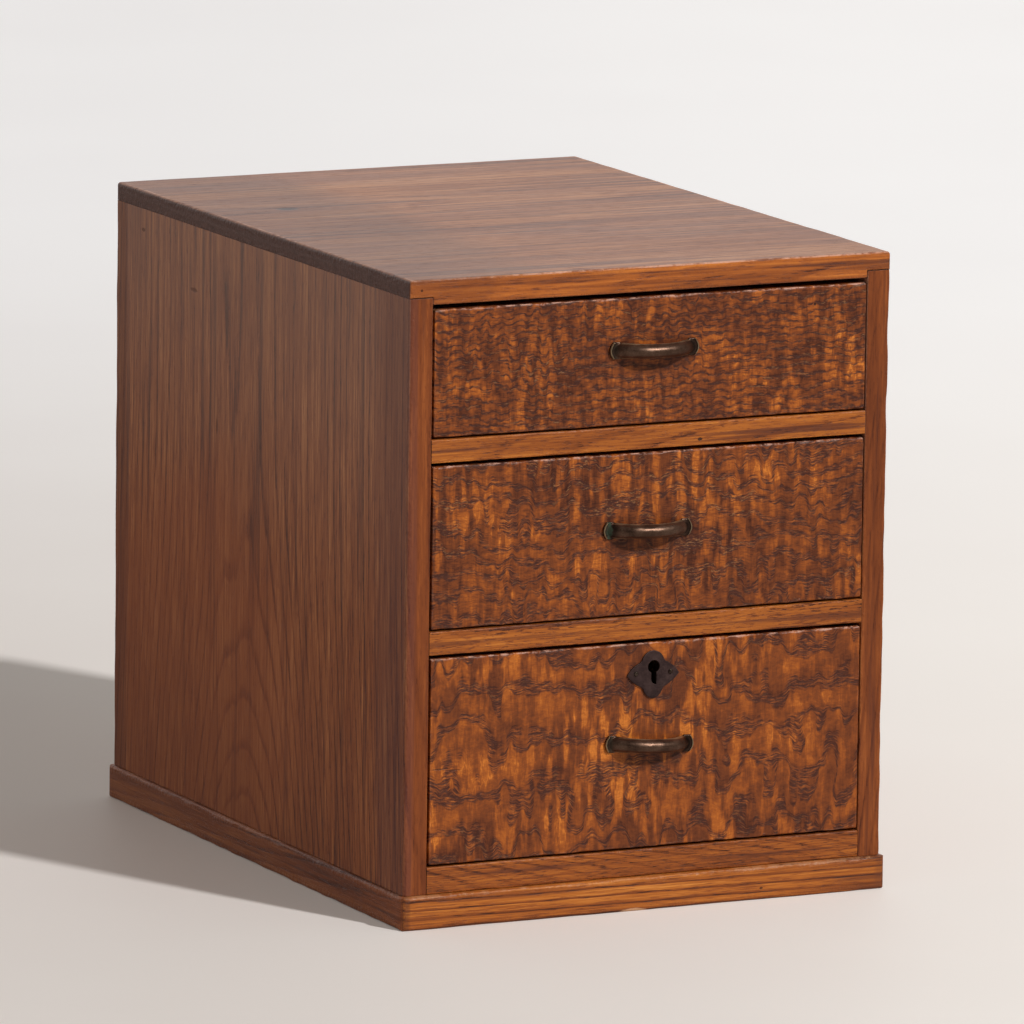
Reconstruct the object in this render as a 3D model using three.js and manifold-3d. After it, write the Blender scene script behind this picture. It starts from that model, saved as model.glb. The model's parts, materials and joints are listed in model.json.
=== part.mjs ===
// A small three-drawer chest, built board by board: a rebated carcase on a mitred plinth, three drawers
// that slide on shelves, a bow pull on each drawer held by nuts, and a till lock in the bottom drawer.
// Millimetres, +Z up, drawer fronts towards -Y. The origin is on the floor, under the middle of the chest.
import * as THREE from "three";
import { mergeVertices } from "three/addons/utils/BufferGeometryUtils.js";
import Module from "manifold-3d";

const wasm = await Module();
wasm.setup();

// Carcase
const chestWidth = 303;
const chestDepth = 406;
const sideThickness = 14.3;
const topThickness = 14.6;
const topLapThickness = 10.5; // the part of the top board that lies over each side
const topEdgeRadius = 3; // the long upper edges, worn round
const backThickness = 8;
const backRebateWidth = 7;
const shelfThickness = 7;
const bottomBoardThickness = 10;
const housingDepth = 5; // how far shelves and bottom board enter the sides
const glueLine = 0.15; // gap in every glued or nailed joint

// Rails across the front, and the openings between them
const railDepth = 30;
const upperRailHeight = 13.5;
const lowerRailHeight = 13.7;
const bottomRailHeight = 15.5;
const tenonLength = 6;
const tenonHeight = 7;
const tenonWidth = 14;
const tenonSetback = 8; // from the front of the rail
const topOpeningHeight = 76.7;
const middleOpeningHeight = 96;
const bottomOpeningHeight = 121.5;

// Plinth
const plinthHeight = 19.5;
const plinthRailWidth = 24;
const plinthSideOverhang = 2.2;
const plinthFrontOverhang = 3;
const plinthBackOverhang = 3.5;

// Drawers
const frontThickness = 15;
const frontRecess = 0.5; // behind the front of the carcase
const frontLeftGap = 1.6;
const frontRightGap = 0.7;
const frontBottomGap = 1.2;
const topDrawerHeadroom = 2.9; // between the drawer front and what is above it
const middleDrawerHeadroom = 2;
const bottomDrawerHeadroom = 2;
const frontLip = 6; // what is left of the front outside its end rebates
const drawerSideThickness = 8;
const drawerSideDrop = 1.5; // below the top of the front
const drawerBackThickness = 8;
const drawerBackDrop = 9; // below the top of the sides
const drawerBottomThickness = 6;
const drawerBottomLap = 6; // how far the bottom reaches under the front
const runningGap = 0.3; // under a drawer, and behind it when it is shut
const fingerCount = 5; // fingers and notches together, at each back corner

// Pulls. The bar is a bow with a flat back and a round front, and a foot at each end.
const pullLength = 56;
const pullBarHeight = 7.4;
const pullBarRootHeight = 8.8; // where the bar meets a foot
const pullBarDepth = 3.9;
const pullClearance = 8.6; // from the drawer front to the back of the bar
const pullArchPower = 2.4; // 2 is a parabola, more is flatter in the middle
const pullLegWidth = 5.2;
const pullFootHeight = 10;
const pullFootThickness = 1.4;
const pullFootBulge = 2.1; // how far the round end of a foot stands out
const pullFootLedge = 1.1; // foot that shows past the bar
const pullStations = 16; // steps along the bar
const pullFacets = 8; // steps round the front of the bar
const studRadius = 1.5;
const studInset = 4.4; // from the end of the pull
const studClearance = 0.3;
const studTail = 1.5; // past the nut
const washerRadius = 4.5;
const washerThickness = 0.8;
const nutSize = 7;
const nutThickness = 2.5;
const fittingGap = 0.2; // between a fitting and what it is drawn up against
const topPullRise = 6.5; // above the middle of its drawer front
const topPullShift = 1.3; // right of the middle of the chest
const topPullTilt = 0.4; // degrees, right end down
const middlePullRise = 2.6;
const middlePullShift = -1.3;
const middlePullTilt = 1.1;
const bottomPullRise = 0.75;
const bottomPullShift = 1.8;
const bottomPullTilt = 3.4;

// Lock plate on the bottom drawer front
const lockShift = 3.7; // right of the middle of the chest
const plateDrop = 18.4; // from the upper edge of the front to the middle of the plate
const platePointReach = 16.5;
const plateHalfHeight = 13.8;
const plateLobeRadius = 7.2;
const plateLobeStart = 14; // degrees above the lobe's middle at which its arc begins
const plateNotch = 1.1;
const plateBulge = 1.3; // how far the slanting edges stand out from straight
const plateThickness = 1;
const keyholeShift = 0.4; // right of the middle of the plate
const keyholeRise = 4.5; // above the middle of the plate
const keyholeRadius = 3.7;
const keySlotWidth = 3.3;
const keySlotLength = 10.4; // below the middle of the round hole
const keyholeClearance = 0.5; // the wood and the lock case are cut this much wider
const plateNailSpacing = 21.8;
const plateNailRise = 1.1; // above the middle of the plate
const nailHeadRadius = 1.4;
const nailHeadHeight = 0.8;
const nailShankRadius = 0.6;
const nailLength = 6;

// Till lock, let into the back of the bottom drawer front
const lockWidth = 52;
const lockHeight = 34;
const lockPlateThickness = 1.2;
const lockPlateMargin = 5; // plate outside the case, left, right and below
const selvedgeDepth = 11; // plate along the upper edge of the front, front to back
const caseDepth = 8;
const caseWall = 1;
const boltWidth = 13;
const boltTravel = 5.5;
const boltDrop = 0.4; // the drawn bolt below the upper edge of the front
const boltClearance = 0.3;
const boltLegWidth = 4.3;
const boltLegLength = 9;
const keyBitReach = 9.2; // from the middle of the key to the end of its bit
const springThickness = 0.5;
const springWidth = 4;
const springLength = 17;
const screwHeadRadius = 2.1;
const screwHeadHeight = 1.2;
const screwShankRadius = 1;
const screwLength = 6;
const screwInset = 2.5; // from the edges of the lock plate
const strikeWidth = 34;
const strikeDepth = 12;
const strikeThickness = 1;
const strikeClearance = 0.5;
const strikePocketDepth = 7; // above the underside of the rail
const strikeNailSpacing = 26;

// Working values for cutting and for round shapes
const overrun = 1; // how far a cut runs past the face it starts from
const pinClearance = 0.3; // round the shank of each nail and screw
const weldTolerance = 0.0001;
const roundSteps = 16; // straight pieces in a full circle
const headShoulderShare = 0.6; // of the radius of a nail or screw head

// Heights and depths that follow
const innerHalf = chestWidth / 2 - sideThickness;
const bottomFloor = plinthHeight + bottomRailHeight;
const middleFloor = bottomFloor + bottomOpeningHeight + lowerRailHeight;
const topFloor = middleFloor + middleOpeningHeight + upperRailHeight;
const topUnderside = topFloor + topOpeningHeight;
const chestHeight = topUnderside + topThickness;
const sideTop = chestHeight - topLapThickness;
const backFace = chestDepth - backThickness;
const pullFront = frontRecess - fittingGap - pullClearance - pullBarDepth;
const foremost = Math.min(pullFront, -plinthFrontOverhang);
const rearmost = chestDepth + plinthBackOverhang;
const drawerRear = backFace - frontRecess - runningGap; // from the face of the drawer front

// The lock, measured from the face and the upper edge of the drawer front, as the drawer's own frame is
const plateRear = frontThickness;
const plateFace = plateRear - lockPlateThickness;
const caseFace = plateRear - caseDepth;
const caseHalf = lockWidth / 2 - lockPlateMargin;
const boltFace = caseFace + caseWall + boltClearance;
const boltRear = plateFace - boltClearance;
const boltBodyTop = lockPlateThickness + boltTravel + boltClearance; // these four are depths below the edge
const keyDrop = plateDrop - keyholeRise;
const boltCrown = keyDrop - keyBitReach + boltTravel;
const caseFloor = lockHeight - lockPlateMargin;
const keyX = lockShift + keyholeShift;

const paint = (color, roughness, metalness = 0) =>
  new THREE.MeshStandardMaterial({ color, roughness, metalness });
const carcaseWood = paint("#7a4a2c", 0.5);
const railWood = paint("#a4602c", 0.45);
const figuredWood = paint("#9c5524", 0.4);
const plainWood = paint("#c9a877", 0.7);
const bronze = paint("#4a3a2a", 0.35, 0.9);
const iron = paint("#3b2f2e", 0.55, 0.8);
const brass = paint("#8a7244", 0.45, 0.9);
const steel = paint("#8d8f91", 0.4, 0.9);

// Turns a closed geometry into a solid that can be cut and joined.
function solidOf(geometry) {
  const bare = geometry.index ? geometry.toNonIndexed() : geometry.clone();
  for (const name of Object.keys(bare.attributes)) {
    if (name !== "position") bare.deleteAttribute(name);
  }
  const merged = mergeVertices(bare, weldTolerance);
  return new wasm.Manifold(
    new wasm.Mesh({
      numProp: 3,
      vertProperties: merged.attributes.position.array,
      triVerts: new Uint32Array(merged.index.array),
    }),
  );
}

// Adds a solid to a group as a named mesh.
function addPiece(parent, name, solid, material) {
  const { vertProperties, triVerts } = solid.getMesh();
  const geometry = new THREE.BufferGeometry();
  geometry.setAttribute("position", new THREE.BufferAttribute(vertProperties, 3));
  geometry.setIndex(new THREE.BufferAttribute(triVerts, 1));
  geometry.computeVertexNormals();
  const mesh = new THREE.Mesh(geometry, material);
  mesh.name = name;
  parent.add(mesh);
  return mesh;
}

// A block between two corners [x, y, z], made larger all round by grow.
function block(low, high, grow = 0) {
  const size = high.map((value, axis) => value - low[axis] + 2 * grow);
  const middle = high.map((value, axis) => (value + low[axis]) / 2);
  return solidOf(new THREE.BoxGeometry(...size).translate(...middle));
}

// A flat outline in X and Z, made solid from front to rear.
function slab(shape, front, rear) {
  const options = { depth: rear - front, bevelEnabled: false, curveSegments: roundSteps / 2 };
  const flat = new THREE.ExtrudeGeometry(shape, options);
  return solidOf(flat.rotateX(Math.PI / 2).translate(0, rear, 0));
}

// A round bar along Y.
function rod(x, z, radius, front, rear) {
  const bar = new THREE.CylinderGeometry(radius, radius, rear - front, roundSteps);
  return solidOf(bar.translate(x, (front + rear) / 2, z));
}

// A nail or screw turned about +Y: its head stands before y = 0 and its shank runs behind it.
function fastener(headRadius, headHeight, shankRadius, length) {
  const profile = [
    [0, -headHeight],
    [headRadius * headShoulderShare, -headHeight],
    [headRadius, 0],
    [shankRadius, 0],
    [shankRadius, length - shankRadius],
    [0, length],
  ];
  return new THREE.LatheGeometry(
    profile.map(([radius, along]) => new THREE.Vector2(radius, along)),
    roundSteps,
  );
}
const nail = () => fastener(nailHeadRadius, nailHeadHeight, nailShankRadius, nailLength);
const screw = () => fastener(screwHeadRadius, screwHeadHeight, screwShankRadius, screwLength);

// The rails: where the top of each is, its height, and the board that carries on behind it at that level.
const rails = [
  { name: "upper_rail", floor: topFloor, height: upperRailHeight, board: "upper_shelf" },
  { name: "lower_rail", floor: middleFloor, height: lowerRailHeight, board: "lower_shelf" },
  { name: "bottom_rail", floor: bottomFloor, height: bottomRailHeight, board: "bottom_board" },
];

function shelfCorners(rail) {
  const reach = innerHalf + housingDepth;
  const thickness = rail.board === "bottom_board" ? bottomBoardThickness : shelfThickness;
  return [
    [-reach, railDepth + glueLine, rail.floor - thickness],
    [reach, backFace - glueLine, rail.floor],
  ];
}

function tenonCorners(rail) {
  const reach = innerHalf + tenonLength;
  const middle = rail.floor - rail.height / 2;
  return [
    [-reach, tenonSetback, middle - tenonHeight / 2],
    [reach, tenonSetback + tenonWidth, middle + tenonHeight / 2],
  ];
}

function backCorners() {
  const reach = innerHalf + backRebateWidth;
  return [
    [-reach, backFace, plinthHeight + glueLine],
    [reach, chestDepth, topUnderside - glueLine],
  ];
}

function addSides(chest) {
  for (const [name, from, to] of [
    ["left_side", -chestWidth / 2, -innerHalf],
    ["right_side", innerHalf, chestWidth / 2],
  ]) {
    let side = block([from, 0, plinthHeight + glueLine], [to, chestDepth, sideTop - glueLine]);
    for (const rail of rails) {
      side = side.subtract(block(...tenonCorners(rail), glueLine));
      side = side.subtract(block(...shelfCorners(rail), glueLine));
    }
    const [low, high] = backCorners();
    const rebate = block([low[0], low[1], 0], [high[0], high[1] + overrun, high[2]], glueLine);
    addPiece(chest, name, side.subtract(rebate), carcaseWood);
  }
}

// The top board is one section from front to back: it drops between the sides and laps over them.
function addTop(chest) {
  const half = chestWidth / 2;
  const drop = innerHalf - glueLine;
  const turn = half - topEdgeRadius;
  const level = chestHeight - topEdgeRadius;
  const section = new THREE.Shape();
  section.moveTo(-drop, topUnderside);
  section.lineTo(drop, topUnderside);
  section.lineTo(drop, sideTop);
  section.lineTo(half, sideTop);
  section.absarc(turn, level, topEdgeRadius, 0, Math.PI / 2, false);
  section.absarc(-turn, level, topEdgeRadius, Math.PI / 2, Math.PI, false);
  section.lineTo(-half, sideTop);
  section.lineTo(-drop, sideTop);
  section.closePath();
  addPiece(chest, "top_board", slab(section, 0, chestDepth), carcaseWood);
}

function addBackBoards(chest) {
  const [low, high] = backCorners();
  const middle = (low[2] + high[2]) / 2;
  const lower = block(low, [high[0], high[1], middle - glueLine / 2]);
  const upper = block([low[0], low[1], middle + glueLine / 2], high);
  addPiece(chest, "lower_back_board", lower, carcaseWood);
  addPiece(chest, "upper_back_board", upper, carcaseWood);
}

function addRails(chest) {
  const reach = innerHalf - glueLine;
  for (const rail of rails) {
    const low = [-reach, 0, rail.floor - rail.height + glueLine];
    let bar = block(low, [reach, railDepth, rail.floor]).add(block(...tenonCorners(rail)));
    if (rail.name === "lower_rail") bar = cutForStrike(bar);
    addPiece(chest, rail.name, bar, railWood);
    addPiece(chest, rail.board, block(...shelfCorners(rail)), plainWood);
  }
}

function addPlinth(chest) {
  const x = chestWidth / 2 + plinthSideOverhang;
  const inX = x - plinthRailWidth;
  const front = -plinthFrontOverhang;
  const inFront = front + plinthRailWidth;
  const inRear = rearmost - plinthRailWidth;
  const outlines = {
    front_plinth_rail: [[-x, front], [x, front], [inX, inFront], [-inX, inFront]],
    rear_plinth_rail: [[-x, rearmost], [-inX, inRear], [inX, inRear], [x, rearmost]],
    left_plinth_rail: [
      [-x, front + glueLine],
      [-inX, inFront + glueLine],
      [-inX, inRear - glueLine],
      [-x, rearmost - glueLine],
    ],
    right_plinth_rail: [
      [x, front + glueLine],
      [x, rearmost - glueLine],
      [inX, inRear - glueLine],
      [inX, inFront + glueLine],
    ],
  };
  for (const [name, corners] of Object.entries(outlines)) {
    const shape = new THREE.Shape(corners.map((corner) => new THREE.Vector2(...corner)));
    const rail = new THREE.ExtrudeGeometry(shape, { depth: plinthHeight, bevelEnabled: false });
    addPiece(chest, name, solidOf(rail), railWood);
  }
}

// What a drawer's boards share, in the drawer's own frame: y = 0 at its face, z = 0 at the opening's floor.
function drawerFrame(drawer) {
  const bottomTop = runningGap + drawerBottomThickness;
  const top = drawer.opening - drawer.headroom;
  return {
    left: -innerHalf + frontLeftGap,
    right: innerHalf - frontRightGap,
    top,
    boardFloor: bottomTop + glueLine,
    bottomTop,
    sideTop: top - drawerSideDrop,
    backTop: top - drawerSideDrop - drawerBackDrop,
  };
}

// The fingers of a drawer's back: blocks that run right through both sides.
function backFingers(frame) {
  const fingers = [];
  const step = (frame.backTop - frame.boardFloor) / fingerCount;
  for (let index = 0; index < fingerCount; index += 2) {
    const low = frame.boardFloor + index * step;
    fingers.push([
      [frame.left, drawerRear - drawerBackThickness, low],
      [frame.right, drawerRear, low + step],
    ]);
  }
  return fingers;
}

function drawerFront(drawer, frame) {
  let front = block([frame.left, 0, frontBottomGap], [frame.right, frontThickness, frame.top]);
  const rebateWidth = drawerSideThickness + glueLine;
  for (const [from, to] of [
    [frame.left - overrun, frame.left + rebateWidth],
    [frame.right - rebateWidth, frame.right + overrun],
  ]) {
    const high = [to, frontThickness + overrun, frame.top + overrun];
    front = front.subtract(block([from, frontLip, frontBottomGap - overrun], high));
  }
  const lap = block(
    [frame.left - overrun, frontThickness - drawerBottomLap - glueLine, frontBottomGap - overrun],
    [frame.right + overrun, frontThickness + overrun, frame.boardFloor],
  );
  front = front.subtract(lap);
  for (const stud of studPlaces(drawer)) {
    const hole = rod(stud.x, stud.z, studRadius + studClearance, -overrun, frontThickness + overrun);
    front = front.subtract(hole);
  }
  return front;
}

function addDrawer(chest, drawer) {
  const group = new THREE.Group();
  group.position.set(0, frontRecess, drawer.floor);
  chest.add(group);
  const frame = drawerFrame(drawer);
  const { left, right, boardFloor, bottomTop, backTop } = frame;
  const fingers = backFingers(frame);

  let front = drawerFront(drawer, frame);
  if (drawer.name === "bottom") front = cutForLock(front, frame);
  addPiece(group, drawer.name + "_drawer_front", front, figuredWood);

  for (const [name, from, to] of [
    ["left", left, left + drawerSideThickness],
    ["right", right - drawerSideThickness, right],
  ]) {
    let side = block([from, frontLip + glueLine, boardFloor], [to, drawerRear, frame.sideTop]);
    for (const [low, high] of fingers) side = side.subtract(block(low, high, glueLine));
    addPiece(group, `${drawer.name}_drawer_${name}_side`, side, plainWood);
  }

  const inset = drawerSideThickness + glueLine;
  const backFront = drawerRear - drawerBackThickness;
  let back = block([left + inset, backFront, boardFloor], [right - inset, drawerRear, backTop]);
  for (const [low, high] of fingers) back = back.add(block(low, high));
  addPiece(group, drawer.name + "_drawer_back", back, plainWood);

  const bottomFront = frontThickness - drawerBottomLap;
  const bottom = block([left, bottomFront, runningGap], [right, drawerRear, bottomTop]);
  addPiece(group, drawer.name + "_drawer_bottom", bottom, plainWood);

  addPull(group, drawer);
  return { group, frame };
}

// The height of a pull's middle in the drawer's frame.
function pullLevel(drawer) {
  return (frontBottomGap + drawer.opening - drawer.headroom) / 2 + drawer.pullRise;
}

// The two studs of a pull, after its tilt, in the drawer's frame.
function studPlaces(drawer) {
  const reach = pullLength / 2 - studInset;
  const tilt = THREE.MathUtils.degToRad(drawer.pullTilt);
  return [-reach, reach].map((along) => ({
    x: drawer.pullShift + along * Math.cos(tilt),
    z: pullLevel(drawer) - along * Math.sin(tilt),
  }));
}

// The bar of a pull. Along runs from -1 to 1 and round from the upper back edge over the front to the lower
// one. The back edge follows reach * along and -clearance * (1 - |along| ^ power), the front does the same
// further out, and a point between them lies on half an ellipse.
function pullBar() {
  const outerReach = pullLength / 2 - pullFootLedge;
  const innerReach = outerReach - pullLegWidth;
  const positions = [];
  for (let station = 0; station <= pullStations; station++) {
    const along = (2 * station) / pullStations - 1;
    const arch = 1 - Math.abs(along) ** pullArchPower;
    const height = pullBarHeight + (pullBarRootHeight - pullBarHeight) * (1 - arch);
    for (let facet = 0; facet <= pullFacets; facet++) {
      const angle = (Math.PI * facet) / pullFacets;
      const forward = Math.sin(angle);
      const x = along * (innerReach + (outerReach - innerReach) * forward);
      const y = -arch * (pullClearance + pullBarDepth * forward);
      positions.push(x, y, (height / 2) * Math.cos(angle));
    }
  }
  const ring = pullFacets + 1;
  const index = [];
  for (let station = 0; station < pullStations; station++) {
    for (let facet = 0; facet < ring; facet++) {
      const here = station * ring;
      const next = (facet + 1) % ring;
      index.push(here + facet, here + next, here + ring + facet);
      index.push(here + next, here + ring + next, here + ring + facet);
    }
  }
  const last = pullStations * ring;
  for (let facet = 1; facet < pullFacets; facet++) {
    index.push(0, facet + 1, facet);
    index.push(last, last + facet, last + facet + 1);
  }
  const geometry = new THREE.BufferGeometry();
  geometry.setAttribute("position", new THREE.Float32BufferAttribute(positions, 3));
  geometry.setIndex(index);
  return solidOf(geometry);
}

// The foot at one end of a pull: straight inside, bowed outside.
function pullFoot(side) {
  const outer = pullLength / 2;
  const corner = outer - pullFootBulge;
  const inner = outer - pullFootLedge - pullLegWidth;
  const half = pullFootHeight / 2;
  const shape = new THREE.Shape();
  shape.moveTo(side * inner, -half);
  shape.lineTo(side * corner, -half);
  shape.quadraticCurveTo(side * (outer + pullFootBulge), 0, side * corner, half);
  shape.lineTo(side * inner, half);
  shape.closePath();
  return slab(shape, -pullFootThickness, 0);
}

function ringShape(outline, bore) {
  const hole = new THREE.Path();
  hole.absarc(0, 0, bore, 0, 2 * Math.PI, true);
  outline.holes.push(hole);
  return outline;
}

function addPull(group, drawer) {
  const washerFront = frontThickness + fittingGap;
  const nutFront = washerFront + washerThickness + fittingGap;
  const studEnd = nutFront + nutThickness + studTail;
  let pull = pullBar();
  for (const side of [-1, 1]) {
    pull = pull.add(pullFoot(side));
    const stud = rod(side * (pullLength / 2 - studInset), 0, studRadius, -pullFootThickness, studEnd);
    pull = pull.add(stud);
  }
  const mesh = addPiece(group, drawer.name + "_pull", pull, bronze);
  mesh.position.set(drawer.pullShift, -fittingGap, pullLevel(drawer));
  mesh.rotation.y = THREE.MathUtils.degToRad(drawer.pullTilt);

  const disc = new THREE.Shape().absarc(0, 0, washerRadius, 0, 2 * Math.PI, false);
  const half = nutSize / 2;
  const corners = [[-half, -half], [half, -half], [half, half], [-half, half]];
  const square = new THREE.Shape(corners.map((corner) => new THREE.Vector2(...corner)));
  const bore = studRadius + fittingGap;
  const washer = slab(ringShape(disc, bore), washerFront, washerFront + washerThickness);
  const nut = slab(ringShape(square, bore), nutFront, nutFront + nutThickness);
  studPlaces(drawer).forEach(({ x, z }, index) => {
    const side = ["left", "right"][index];
    addPiece(group, `${drawer.name}_pull_${side}_washer`, washer, steel).position.set(x, 0, z);
    addPiece(group, `${drawer.name}_pull_${side}_nut`, nut, brass).position.set(x, 0, z);
  });
}

// The outline of the lock plate: two points left and right, and a lobe above and below.
function plateShape(middle) {
  const start = THREE.MathUtils.degToRad(plateLobeStart);
  const rise = plateHalfHeight - plateLobeRadius;
  const lobe = [plateLobeRadius * Math.cos(start), rise + plateLobeRadius * Math.sin(start)];
  const shoulder = [lobe[0] + plateNotch, lobe[1] - plateNotch];
  const bulge = [(platePointReach + shoulder[0]) / 2 + plateBulge, shoulder[1] / 2 + plateBulge];
  const at = ([u, v], sideways, upward) => [lockShift + sideways * u, middle + upward * v];
  const shape = new THREE.Shape();
  shape.moveTo(...at([platePointReach, 0], 1, 1));
  shape.quadraticCurveTo(...at(bulge, 1, 1), ...at(shoulder, 1, 1));
  shape.lineTo(...at(lobe, 1, 1));
  shape.absarc(lockShift, middle + rise, plateLobeRadius, start, Math.PI - start, false);
  shape.lineTo(...at(shoulder, -1, 1));
  shape.quadraticCurveTo(...at(bulge, -1, 1), ...at([platePointReach, 0], -1, 1));
  shape.quadraticCurveTo(...at(bulge, -1, -1), ...at(shoulder, -1, -1));
  shape.lineTo(...at(lobe, -1, -1));
  shape.absarc(lockShift, middle - rise, plateLobeRadius, Math.PI + start, 2 * Math.PI - start, false);
  shape.lineTo(...at(shoulder, 1, -1));
  shape.quadraticCurveTo(...at(bulge, 1, -1), ...at([platePointReach, 0], 1, -1));
  return shape;
}

// A round hole over a slot whose lower left corner is rounded off.
function keyholeShape(middle, grow = 0) {
  const radius = keyholeRadius + grow;
  const half = keySlotWidth / 2 + grow;
  const opening = Math.asin(half / radius);
  const foot = middle - keySlotLength - grow;
  const shape = new THREE.Shape();
  shape.absarc(keyX, middle, radius, opening - Math.PI / 2, (3 * Math.PI) / 2 - opening, false);
  shape.lineTo(keyX - half, foot + 2 * half);
  shape.quadraticCurveTo(keyX - half, foot + half / 2, keyX + half, foot);
  shape.closePath();
  return shape;
}

function lockCorners(top) {
  return {
    plate: [
      [lockShift - lockWidth / 2, plateFace, top - lockHeight],
      [lockShift + lockWidth / 2, plateRear, top],
    ],
    selvedge: [
      [lockShift - lockWidth / 2, plateRear - selvedgeDepth, top - lockPlateThickness],
      [lockShift + lockWidth / 2, plateRear, top],
    ],
    case: [
      [lockShift - caseHalf, caseFace, top - caseFloor],
      [lockShift + caseHalf, plateFace - fittingGap, top - lockPlateThickness - fittingGap],
    ],
    tongue: [
      [lockShift - boltWidth / 2, boltFace, top - boltBodyTop],
      [lockShift + boltWidth / 2, boltRear, top - boltDrop],
    ],
  };
}

function plateNailPlaces(top) {
  const z = top - plateDrop + plateNailRise;
  return [
    { name: "left", x: lockShift - plateNailSpacing / 2, z },
    { name: "right", x: lockShift + plateNailSpacing / 2, z },
  ];
}

function lockScrewPlaces(top) {
  const reach = lockWidth / 2 - screwInset;
  const upper = top - lockPlateThickness - screwInset - screwHeadRadius;
  const lower = top - lockHeight + screwInset;
  return [
    { name: "upper_left", x: lockShift - reach, z: upper },
    { name: "upper_right", x: lockShift + reach, z: upper },
    { name: "lower_left", x: lockShift - reach, z: lower },
    { name: "lower_right", x: lockShift + reach, z: lower },
  ];
}

function strikeNailPlaces() {
  return [
    { name: "left", x: lockShift - strikeNailSpacing / 2 },
    { name: "right", x: lockShift + strikeNailSpacing / 2 },
  ];
}

// Recesses in the bottom drawer front for the lock, its key and its fixings.
function cutForLock(front, frame) {
  const corners = lockCorners(frame.top);
  const rear = frontThickness + overrun;
  let cut = front;
  for (const [low, high] of [corners.plate, corners.selvedge, corners.case]) {
    const open = [high[0] + glueLine, rear, frame.top + overrun];
    cut = cut.subtract(block([low[0] - glueLine, low[1] - glueLine, low[2] - glueLine], open));
  }
  cut = cut.subtract(slab(keyholeShape(frame.top - keyDrop, keyholeClearance), -overrun, rear));
  for (const { x, z } of plateNailPlaces(frame.top)) {
    cut = cut.subtract(rod(x, z, nailShankRadius + pinClearance, -overrun, nailLength + pinClearance));
  }
  for (const { x, z } of lockScrewPlaces(frame.top)) {
    const end = plateRear - screwLength - pinClearance;
    cut = cut.subtract(rod(x, z, screwShankRadius + pinClearance, end, rear));
  }
  return cut;
}

function addLock(group, frame) {
  const top = frame.top;
  const corners = lockCorners(top);
  const faceRear = -fittingGap;
  const faceFront = faceRear - plateThickness;

  let facePlate = slab(plateShape(top - plateDrop), faceFront, faceRear);
  facePlate = facePlate.subtract(slab(keyholeShape(top - keyDrop), faceFront - overrun, faceRear + overrun));
  for (const { name, x, z } of plateNailPlaces(top)) {
    const hole = rod(x, z, nailShankRadius + pinClearance, faceFront - overrun, faceRear + overrun);
    facePlate = facePlate.subtract(hole);
    const pin = solidOf(nail());
    addPiece(group, `keyhole_plate_${name}_nail`, pin, brass).position.set(x, faceFront - fittingGap, z);
  }
  addPiece(group, "keyhole_plate", facePlate, iron);

  const [slotLow, slotHigh] = corners.tongue;
  const slot = block(slotLow, [slotHigh[0], slotHigh[1], top + overrun], boltClearance);
  let lockPlate = block(...corners.plate).add(block(...corners.selvedge)).subtract(slot);
  for (const { name, x, z } of lockScrewPlaces(top)) {
    const hole = rod(x, z, screwShankRadius + pinClearance, plateFace - overrun, plateRear + overrun);
    lockPlate = lockPlate.subtract(hole);
    const pin = addPiece(group, `lock_${name}_screw`, solidOf(screw()), steel);
    pin.position.set(x, plateRear + fittingGap, z);
    pin.rotation.z = Math.PI;
  }
  addPiece(group, "lock_plate", lockPlate, brass);

  const [caseLow, caseHigh] = corners.case;
  const insideLow = caseLow.map((value) => value + caseWall);
  const insideHigh = [caseHigh[0] - caseWall, caseHigh[1] + overrun, caseHigh[2] + overrun];
  let lockCase = block(caseLow, caseHigh).subtract(block(insideLow, insideHigh));
  const keyway = slab(keyholeShape(top - keyDrop, keyholeClearance), caseFace - overrun, boltFace);
  lockCase = lockCase.subtract(keyway);
  addPiece(group, "lock_case", lockCase, brass);

  const legReach = keyBitReach + keyholeClearance + boltLegWidth;
  const body = block(
    [keyX - legReach, boltFace, top - boltCrown - boltLegLength],
    [keyX + legReach, boltRear, top - boltBodyTop],
  );
  const notch = block(
    [keyX - legReach + boltLegWidth, boltFace - overrun, top - boltCrown - boltLegLength - overrun],
    [keyX + legReach - boltLegWidth, boltRear + overrun, top - boltCrown],
  );
  const bolt = body.subtract(notch).add(block(...corners.tongue));
  addPiece(group, "lock_bolt", bolt, brass);

  addPiece(group, "lock_spring", boltSpring(insideHigh[0] - fittingGap, keyX + legReach, top), steel);
}

// A bowed leaf between the wall of the case and the side of the bolt.
function boltSpring(wallX, boltX, top) {
  const reach = wallX - boltX - boltClearance;
  const low = top - boltCrown - boltLegLength;
  const high = low + springLength;
  const middle = (low + high) / 2;
  const crown = wallX - 2 * reach; // the control point, so that the leaf itself bows half as far
  const shape = new THREE.Shape();
  shape.moveTo(wallX, low);
  shape.lineTo(wallX, low + springThickness);
  shape.quadraticCurveTo(crown + 2 * springThickness, middle, wallX, high - springThickness);
  shape.lineTo(wallX, high);
  shape.quadraticCurveTo(crown, middle, wallX, low);
  const depth = (boltFace + boltRear) / 2;
  return slab(shape, depth - springWidth / 2, depth + springWidth / 2);
}

// The strike: a plate let into the underside of the lower rail, with a pocket above it for the bolt.
function strikeCorners() {
  const underside = bottomFloor + bottomOpeningHeight;
  const middle = frontRecess + (boltFace + boltRear) / 2;
  const half = (boltRear - boltFace) / 2 + strikeClearance;
  const reach = boltWidth / 2 + strikeClearance;
  return {
    middle,
    underside,
    plate: [
      [lockShift - strikeWidth / 2, middle - strikeDepth / 2, underside + glueLine],
      [lockShift + strikeWidth / 2, middle + strikeDepth / 2, underside + glueLine + strikeThickness],
    ],
    pocket: [
      [lockShift - reach, middle - half, underside - overrun],
      [lockShift + reach, middle + half, underside + strikePocketDepth],
    ],
  };
}

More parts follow.
